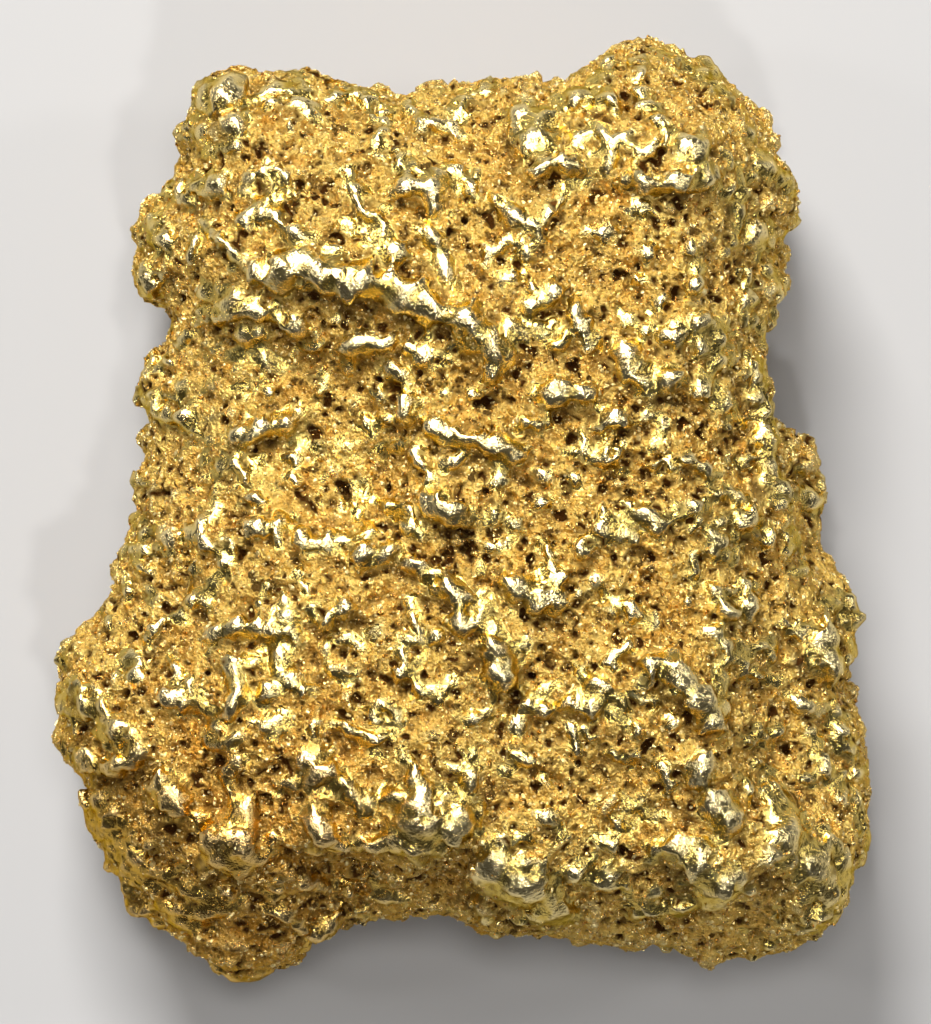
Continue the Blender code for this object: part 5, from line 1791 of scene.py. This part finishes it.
@dataclass(frozen=True)
class FineGrain:
    """The effect of fine grain: glinting crumbs too small to carve."""

    name: str = "fine_grain"
    crumb: Ramp = Ramp(0.0, 0.7, 0.6, 0.0)
    dust: Noise = Noise(26.0, 4.0)
    dust_share: float = 0.7
    dents: Noise = Noise(4.5, 3.0)
    mottle: Noise = Noise(1.1, 6.0)
    large_pores: Noise = Noise(2.4, 9.0)
    large_pore: Ramp = Ramp(0.6, 0.62)
    small_pores: Noise = Noise(7.0, 6.0)
    small_pore: Ramp = Ramp(0.61, 0.65, 0.0, 0.8)

    def group(self) -> bpy.types.NodeTree:
        """Builds the effect once, and hands out the same one each time.

        Returns:
            The node group, from places in mm to a height, dents, a mottle and ragged pores.
        """
        if self.name in bpy.data.node_groups:
            return bpy.data.node_groups[self.name]
        group = bpy.data.node_groups.new(self.name, "ShaderNodeTree")
        group.interface.new_socket("Places", in_out="INPUT", socket_type="NodeSocketVector")
        group.interface.new_socket("Crumbs", in_out="INPUT", socket_type="NodeSocketFloat")
        for output in ("Height", "Dents", "Mottle", "Pores"):
            group.interface.new_socket(output, in_out="OUTPUT", socket_type="NodeSocketFloat")
        graph = Graph(group)
        source = group.nodes.new("NodeGroupInput")
        result = group.nodes.new("NodeGroupOutput")
        places = source.outputs["Places"]
        cells = graph.add("TexVoronoi", {"Vector": places, "Scale": source.outputs["Crumbs"]})
        crumb = graph.span(cells.outputs["Distance"], self.crumb)
        dust = graph.math("MULTIPLY", graph.noise(places, self.dust), self.dust_share)
        graph.put(result.inputs["Height"], graph.math("ADD", crumb, dust))
        graph.put(result.inputs["Dents"], graph.noise(places, self.dents))
        graph.put(result.inputs["Mottle"], graph.noise(places, self.mottle))
        large = graph.span(graph.noise(places, self.large_pores), self.large_pore)
        small = graph.span(graph.noise(places, self.small_pores), self.small_pore)
        graph.put(result.inputs["Pores"], graph.math("MAXIMUM", large, small))
        return group


class Finish:
    """A new material with the fine grain added: its graph, its shader, and its places in mm."""

    def __init__(self, name: str, crumbs_per_mm: float) -> None:
        """Starts the material.

        Args:
            name: what it is called.
            crumbs_per_mm: how fine its grain is.
        """
        self.material = bpy.data.materials.new(name)
        self.material.use_nodes = True
        self.graph = Graph(self.material.node_tree)
        self.surface = self.material.node_tree.nodes["Principled BSDF"]
        where = self.graph.add("TexCoord").outputs["Object"]
        scale = {"Vector": where, "Scale": (1 / METRES_PER_MM,) * 3}
        self.places = self.graph.add("Mapping", scale).outputs["Vector"]
        self.grain = self.graph.add("Group", node_tree=FineGrain().group())
        self.put(self.grain, Places=self.places, Crumbs=crumbs_per_mm)

    def put(self, node: bpy.types.Node, **inputs: object) -> None:
        """Sets or links a node's inputs.

        Args:
            node: the node.
            **inputs: a value or a socket for each input, with _ for a space in its name.
        """
        for name, value in inputs.items():
            self.graph.put(node.inputs[name.replace("_", " ")], value)

    def bump(self, height: object, depth: float) -> bpy.types.NodeSocket:
        """Raises fine relief.

        Args:
            height: how high it stands.
            depth: how far a height of 1 is, in metres.

        Returns:
            The normal of the relief.
        """
        inputs = {"Height": height, "Distance": depth, "Strength": 1.0}
        return self.graph.add("Bump", inputs).outputs["Normal"]


@dataclass(frozen=True)
class NativeGold:
    """The finish of native gold: polished where it is worn, granular and browner elsewhere, with painted
    shade and partly painted highlights.
    """

    name: str = "native_gold"
    # The colours.
    ground: Colour = (0.85, 0.60, 0.165, 1.0)
    # Brown film in the low ground, and the colour of the painted shade on the sides and at the lower
    # left.
    film_and_shade: Colour = (0.58, 0.285, 0.035, 1.0)
    crest: Colour = (0.72, 0.54, 0.15, 1.0)
    # Paler on the crest spines: partly wear, partly a painted highlight.
    spine: Colour = (0.96, 0.79, 0.40, 1.0)
    # Painted shade on the polished crests of the sides.
    side_shade_colour: Colour = (0.36, 0.255, 0.06, 1.0)
    # Painted shade in the pits, the pores and the creases.
    pit: Colour = (0.06, 0.02, 0.003, 1.0)
    grazing: Colour = (0.90, 0.69, 0.25, 1.0)
    # Where the gold is polished.
    chips: Ramp = Ramp(0.3, 0.7, -0.16, 0.16)
    worn: Ramp = Ramp(0.06, 0.4)
    bare: Ramp = Ramp(0.0, 0.7, 1.0, 0.1)
    # Raised edges take the polished colour: partly wear, partly a painted highlight.
    edge_shine: Ramp = Ramp(0.35, 1.0, 0.0, 0.6)
    # Where the spines are paler: partly wear, partly a painted highlight.
    spine_edge: Ramp = Ramp(0.3, 0.9)
    # How strong the painted shade is on the polished crests of the sides.
    side_shade_on_polish: float = 0.75
    # Where it is dark: painted shade in the creases, pits and pores.
    creased: Ramp = Ramp(0.15, 0.55, 1.0, 0.1)
    sunk: Ramp = Ramp(-0.12, -0.9, 0.0, 0.85)
    pitted: Ramp = Ramp(0.08, 0.6)
    pore_darkness: float = 0.9
    # Where it is browner: mottled patches and low ground, and painted shade on the sides and towards the
    # lower left.
    patches: Ramp = Ramp(0.5, 0.68, 0.0, 0.8)
    low_film: Ramp = Ramp(0.0, -0.9, 0.0, 0.4)
    # How strong the painted shade is on the ground of the sides.
    side_shade_on_ground: float = 0.6
    # Painted shade towards the lower left.
    shade_across: Ramp = Ramp(0.5, -4.5, 0.0, 0.5)
    shade_down: Ramp = Ramp(-4.0, -7.5)
    # How rough it is.
    roughness: Ramp = Ramp(0.0, 1.0, 0.31, 0.2)
    pit_roughness: Ramp = Ramp(0.0, 1.0, 0.0, 0.3)
    pit_metal: Ramp = Ramp(0.3, 1.0, 1.0, 0.8)
    # Its fine relief.
    crumbs_per_mm: float = 11.0
    rubbed: Ramp = Ramp(0.0, 1.0, 1.0, 0.16)
    grain_depth: float = 0.00007
    dent_share: float = 0.45
    pore_depth: float = 1.5

    def material(self) -> bpy.types.Material:
        """Builds the material.

        Returns:
            The material.
        """
        finish = Finish(self.name, self.crumbs_per_mm)
        graph = finish.graph
        grain = finish.grain.outputs
        worn_mark = graph.mark(Mark.WORN)
        edge = graph.mark(Mark.EDGE)
        side = graph.mark(Mark.SHADE)
        chipped = graph.math("ADD", worn_mark, graph.span(grain["Dents"], self.chips))
        worn = graph.span(chipped, self.worn)
        pores = graph.math("MULTIPLY", grain["Pores"], graph.span(worn, self.bare))
        # Raised edges count as polished: partly wear, partly a painted highlight.
        shine = graph.math("MAXIMUM", worn, graph.span(edge, self.edge_shine))
        colour = self._colour(finish, shine, edge, side)
        hollow = self._hollow(graph, worn_mark, edge, pores)
        rough = graph.span(shine, self.roughness)
        rough = graph.math("ADD", rough, graph.span(hollow, self.pit_roughness))
        dents = graph.math("MULTIPLY", grain["Dents"], self.dent_share)
        raised = graph.math("MULTIPLY", grain["Height"], graph.span(worn, self.rubbed))
        height = graph.math("ADD", raised, dents)
        height = graph.math("SUBTRACT", height, graph.math("MULTIPLY", pores, self.pore_depth))
        finish.put(
            finish.surface,
            # Painted shade darkens the pits, the pores and the creases.
            Base_Color=graph.mix(hollow, colour, self.pit),
            Roughness=rough,
            Metallic=graph.span(hollow, self.pit_metal),
            Specular_Tint=self.grazing,
            Normal=finish.bump(height, self.grain_depth),
        )
        return finish.material

    def _colour(
        self,
        finish: Finish,
        shine: bpy.types.NodeSocket,
        edge: bpy.types.NodeSocket,
        side: bpy.types.NodeSocket,
    ) -> bpy.types.NodeSocket:
        """Colours the gold, apart from its pits, with painted shade on its sides and towards its lower
        left.

        Args:
            finish: the material that is being built.
            shine: how polished the gold is, with raised edges partly a painted highlight.
            edge: how far it stands out of its surroundings.
            side: how far it faces away from the front.

        Returns:
            The colour.
        """
        graph = finish.graph
        low = graph.span(graph.mark(Mark.DEPTH), self.low_film)
        # Painted shade on the sides, in the film colour.
        low = graph.math("MAXIMUM", low, graph.math("MULTIPLY", side, self.side_shade_on_ground))
        patches = graph.span(finish.grain.outputs["Mottle"], self.patches)
        ground = graph.mix(graph.math("MAXIMUM", patches, low), self.ground, self.film_and_shade)
        # Paler on the spines than on the flanks: partly wear, partly a painted highlight.
        polished = graph.mix(graph.span(edge, self.spine_edge), self.crest, self.spine)
        # Painted shade on the polished crests of the sides.
        polish_side_shade = graph.math("MULTIPLY", side, self.side_shade_on_polish)
        colour = graph.mix(shine, ground, graph.mix(polish_side_shade, polished, self.side_shade_colour))
        # Painted shade towards the lower left, in the film colour.
        place = graph.add("SeparateXYZ", {"Vector": finish.places}).outputs
        across = graph.span(place["X"], self.shade_across)
        lower_left_shade = graph.math("MULTIPLY", across, graph.span(place["Y"], self.shade_down))
        return graph.mix(lower_left_shade, colour, self.film_and_shade)

    def _hollow(
        self,
        graph: Graph,
        worn: bpy.types.NodeSocket,
        edge: bpy.types.NodeSocket,
        pores: bpy.types.NodeSocket,
    ) -> bpy.types.NodeSocket:
        """Finds the creases, the pits and the pores, which painted shade darkens.

        Args:
            graph: the graph of the material that is being built.
            worn: how much of a crest the gold is.
            edge: how far it stands out of its surroundings.
            pores: where its pores are.

        Returns:
            How much painted shade darkens it, from 0 to 1.
        """
        # Painted shade in the creases, off the worn crests.
        sunk = graph.math("MULTIPLY", graph.span(edge, self.sunk), graph.span(worn, self.creased))
        pits = graph.span(graph.mark(Mark.HOLLOW), self.pitted)
        hollow = graph.math("MAXIMUM", sunk, pits)
        return graph.math("MAXIMUM", hollow, graph.math("MULTIPLY", pores, self.pore_darkness))


@dataclass(frozen=True)
class CrumbGold:
    """The finish of the crumbs: clean facets, each crumb a little paler or browner."""

    name: str = "gold_crumbs"
    dark: Colour = (0.48, 0.24, 0.04, 1.0)
    middle: Colour = (0.88, 0.67, 0.25, 1.0)
    pale: Colour = (0.95, 0.80, 0.40, 1.0)
    to_middle: Ramp = Ramp(0.0, 0.45)
    to_pale: Ramp = Ramp(0.6, 1.0)
    roughness: Ramp = Ramp(0.0, 1.0, 0.15, 0.34)
    crumbs_per_mm: float = 22.0
    grain_depth: float = 0.00002

    def material(self) -> bpy.types.Material:
        """Builds the material.

        Returns:
            The material.
        """
        finish = Finish(self.name, self.crumbs_per_mm)
        graph = finish.graph
        shade = graph.mark(Mark.SHADE)
        colour = graph.mix(graph.span(shade, self.to_middle), self.dark, self.middle)
        finish.put(
            finish.surface,
            Base_Color=graph.mix(graph.span(shade, self.to_pale), colour, self.pale),
            Roughness=graph.span(shade, self.roughness),
            Metallic=1.0,
            Normal=finish.bump(finish.grain.outputs["Height"], self.grain_depth),
        )
        return finish.material


@dataclass(frozen=True)
class SoftBox:
    """A soft light that shines on the nugget: its place and size in metres, its power in watts."""

    name: str
    place: Triple
    size: Pair
    power: float

    def hang(self) -> None:
        """Hangs it."""
        data = bpy.data.lights.new(self.name, "AREA")
        data.shape = "RECTANGLE"
        data.size, data.size_y = self.size
        data.energy = self.power
        light = placed(self.name, data)
        light.location = self.place
        light.rotation_euler = Vector(self.place).to_track_quat("Z", "Y").to_euler()


@dataclass(frozen=True)
class Studio:
    """A plain pale floor, soft lights and the camera that looks straight down."""

    floor_side: float = 0.9
    floor_colour: Colour = (0.46, 0.45, 0.44, 1.0)
    floor_roughness: float = 0.8
    soft_boxes: tuple[SoftBox, ...] = (
        SoftBox("key", (-0.06, 0.21, 0.22), (0.12, 0.09), 1.38),
        SoftBox("overhead", (0.01, 0.05, 0.42), (0.1, 0.08), 0.46),
        SoftBox("left", (-0.2, 0.02, 0.22), (0.03, 0.04), 0.06),
        SoftBox("right", (0.22, 0.06, 0.18), (0.04, 0.06), 0.1),
        SoftBox("lower", (0.04, -0.15, 0.3), (0.024, 0.018), 0.22),
    )
    world_light: float = 0.045
    view_height: float = 0.0256
    view_centre: Pair = (0.00005, -0.00005)
    sharp_level: float = 0.75
    camera_distance: float = 0.26
    sensor_height: float = 24.0
    nearest_seen: float = 0.01

    def build(self) -> None:
        """Builds the whole studio."""
        self._lay_floor()
        for soft_box in self.soft_boxes:
            soft_box.hang()
        self._dim_world()
        self._aim_camera()

    def _lay_floor(self) -> None:
        """Lays the floor at the solid's lowest level."""
        sheet = bmesh.new()
        bmesh.ops.create_grid(sheet, x_segments=1, y_segments=1, size=self.floor_side / 2)
        mesh = bpy.data.meshes.new("floor")
        sheet.to_mesh(mesh)
        sheet.free()
        material = bpy.data.materials.new("pale_floor")
        material.use_nodes = True
        surface = material.node_tree.nodes["Principled BSDF"]
        surface.inputs["Base Color"].default_value = self.floor_colour
        surface.inputs["Roughness"].default_value = self.floor_roughness
        mesh.materials.append(material)
        placed("floor", mesh)

    def _dim_world(self) -> None:
        """Gives the room around a low, even light."""
        world = bpy.data.worlds.new("room")
        world.use_nodes = True
        backdrop = world.node_tree.nodes["Background"]
        backdrop.inputs["Color"].default_value = (self.world_light,) * 3 + (1.0,)
        bpy.context.scene.world = world
        bpy.context.scene.view_settings.view_transform = "Standard"

    def _aim_camera(self) -> None:
        """Sets the camera above the nugget, with the nugget's top end up in the frame."""
        data = bpy.data.cameras.new("camera")
        data.sensor_fit = "VERTICAL"
        data.sensor_height = self.sensor_height
        data.lens = data.sensor_height * self.camera_distance / self.view_height
        data.clip_start = self.nearest_seen
        camera = placed("camera", data)
        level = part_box("nugget")[1][2] * self.sharp_level
        camera.location = (*self.view_centre, level + self.camera_distance)
        bpy.context.scene.camera = camera


def main() -> None:
    """Builds the nugget and the studio, and reports each piece."""
    logging.basicConfig(level=logging.INFO, format="%(message)s")
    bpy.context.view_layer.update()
    maker = random.Random(SEED)
    nugget = NuggetSkin().build(maker)
    nugget.data.materials.clear()
    nugget.data.materials.append(NativeGold().material())
    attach(nugget, "root")
    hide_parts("nugget")
    log.info("nugget_skin: %d triangles", len(nugget.data.polygons))
    crumb_gold = CrumbGold().material()
    for piece in CrumbField().build(nugget):
        piece.data.materials.append(crumb_gold)
        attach(piece, "root")
        log.info("%s: %d triangles", piece.name, len(piece.data.polygons))
    Studio().build()


if __name__ == "__main__":
    main()
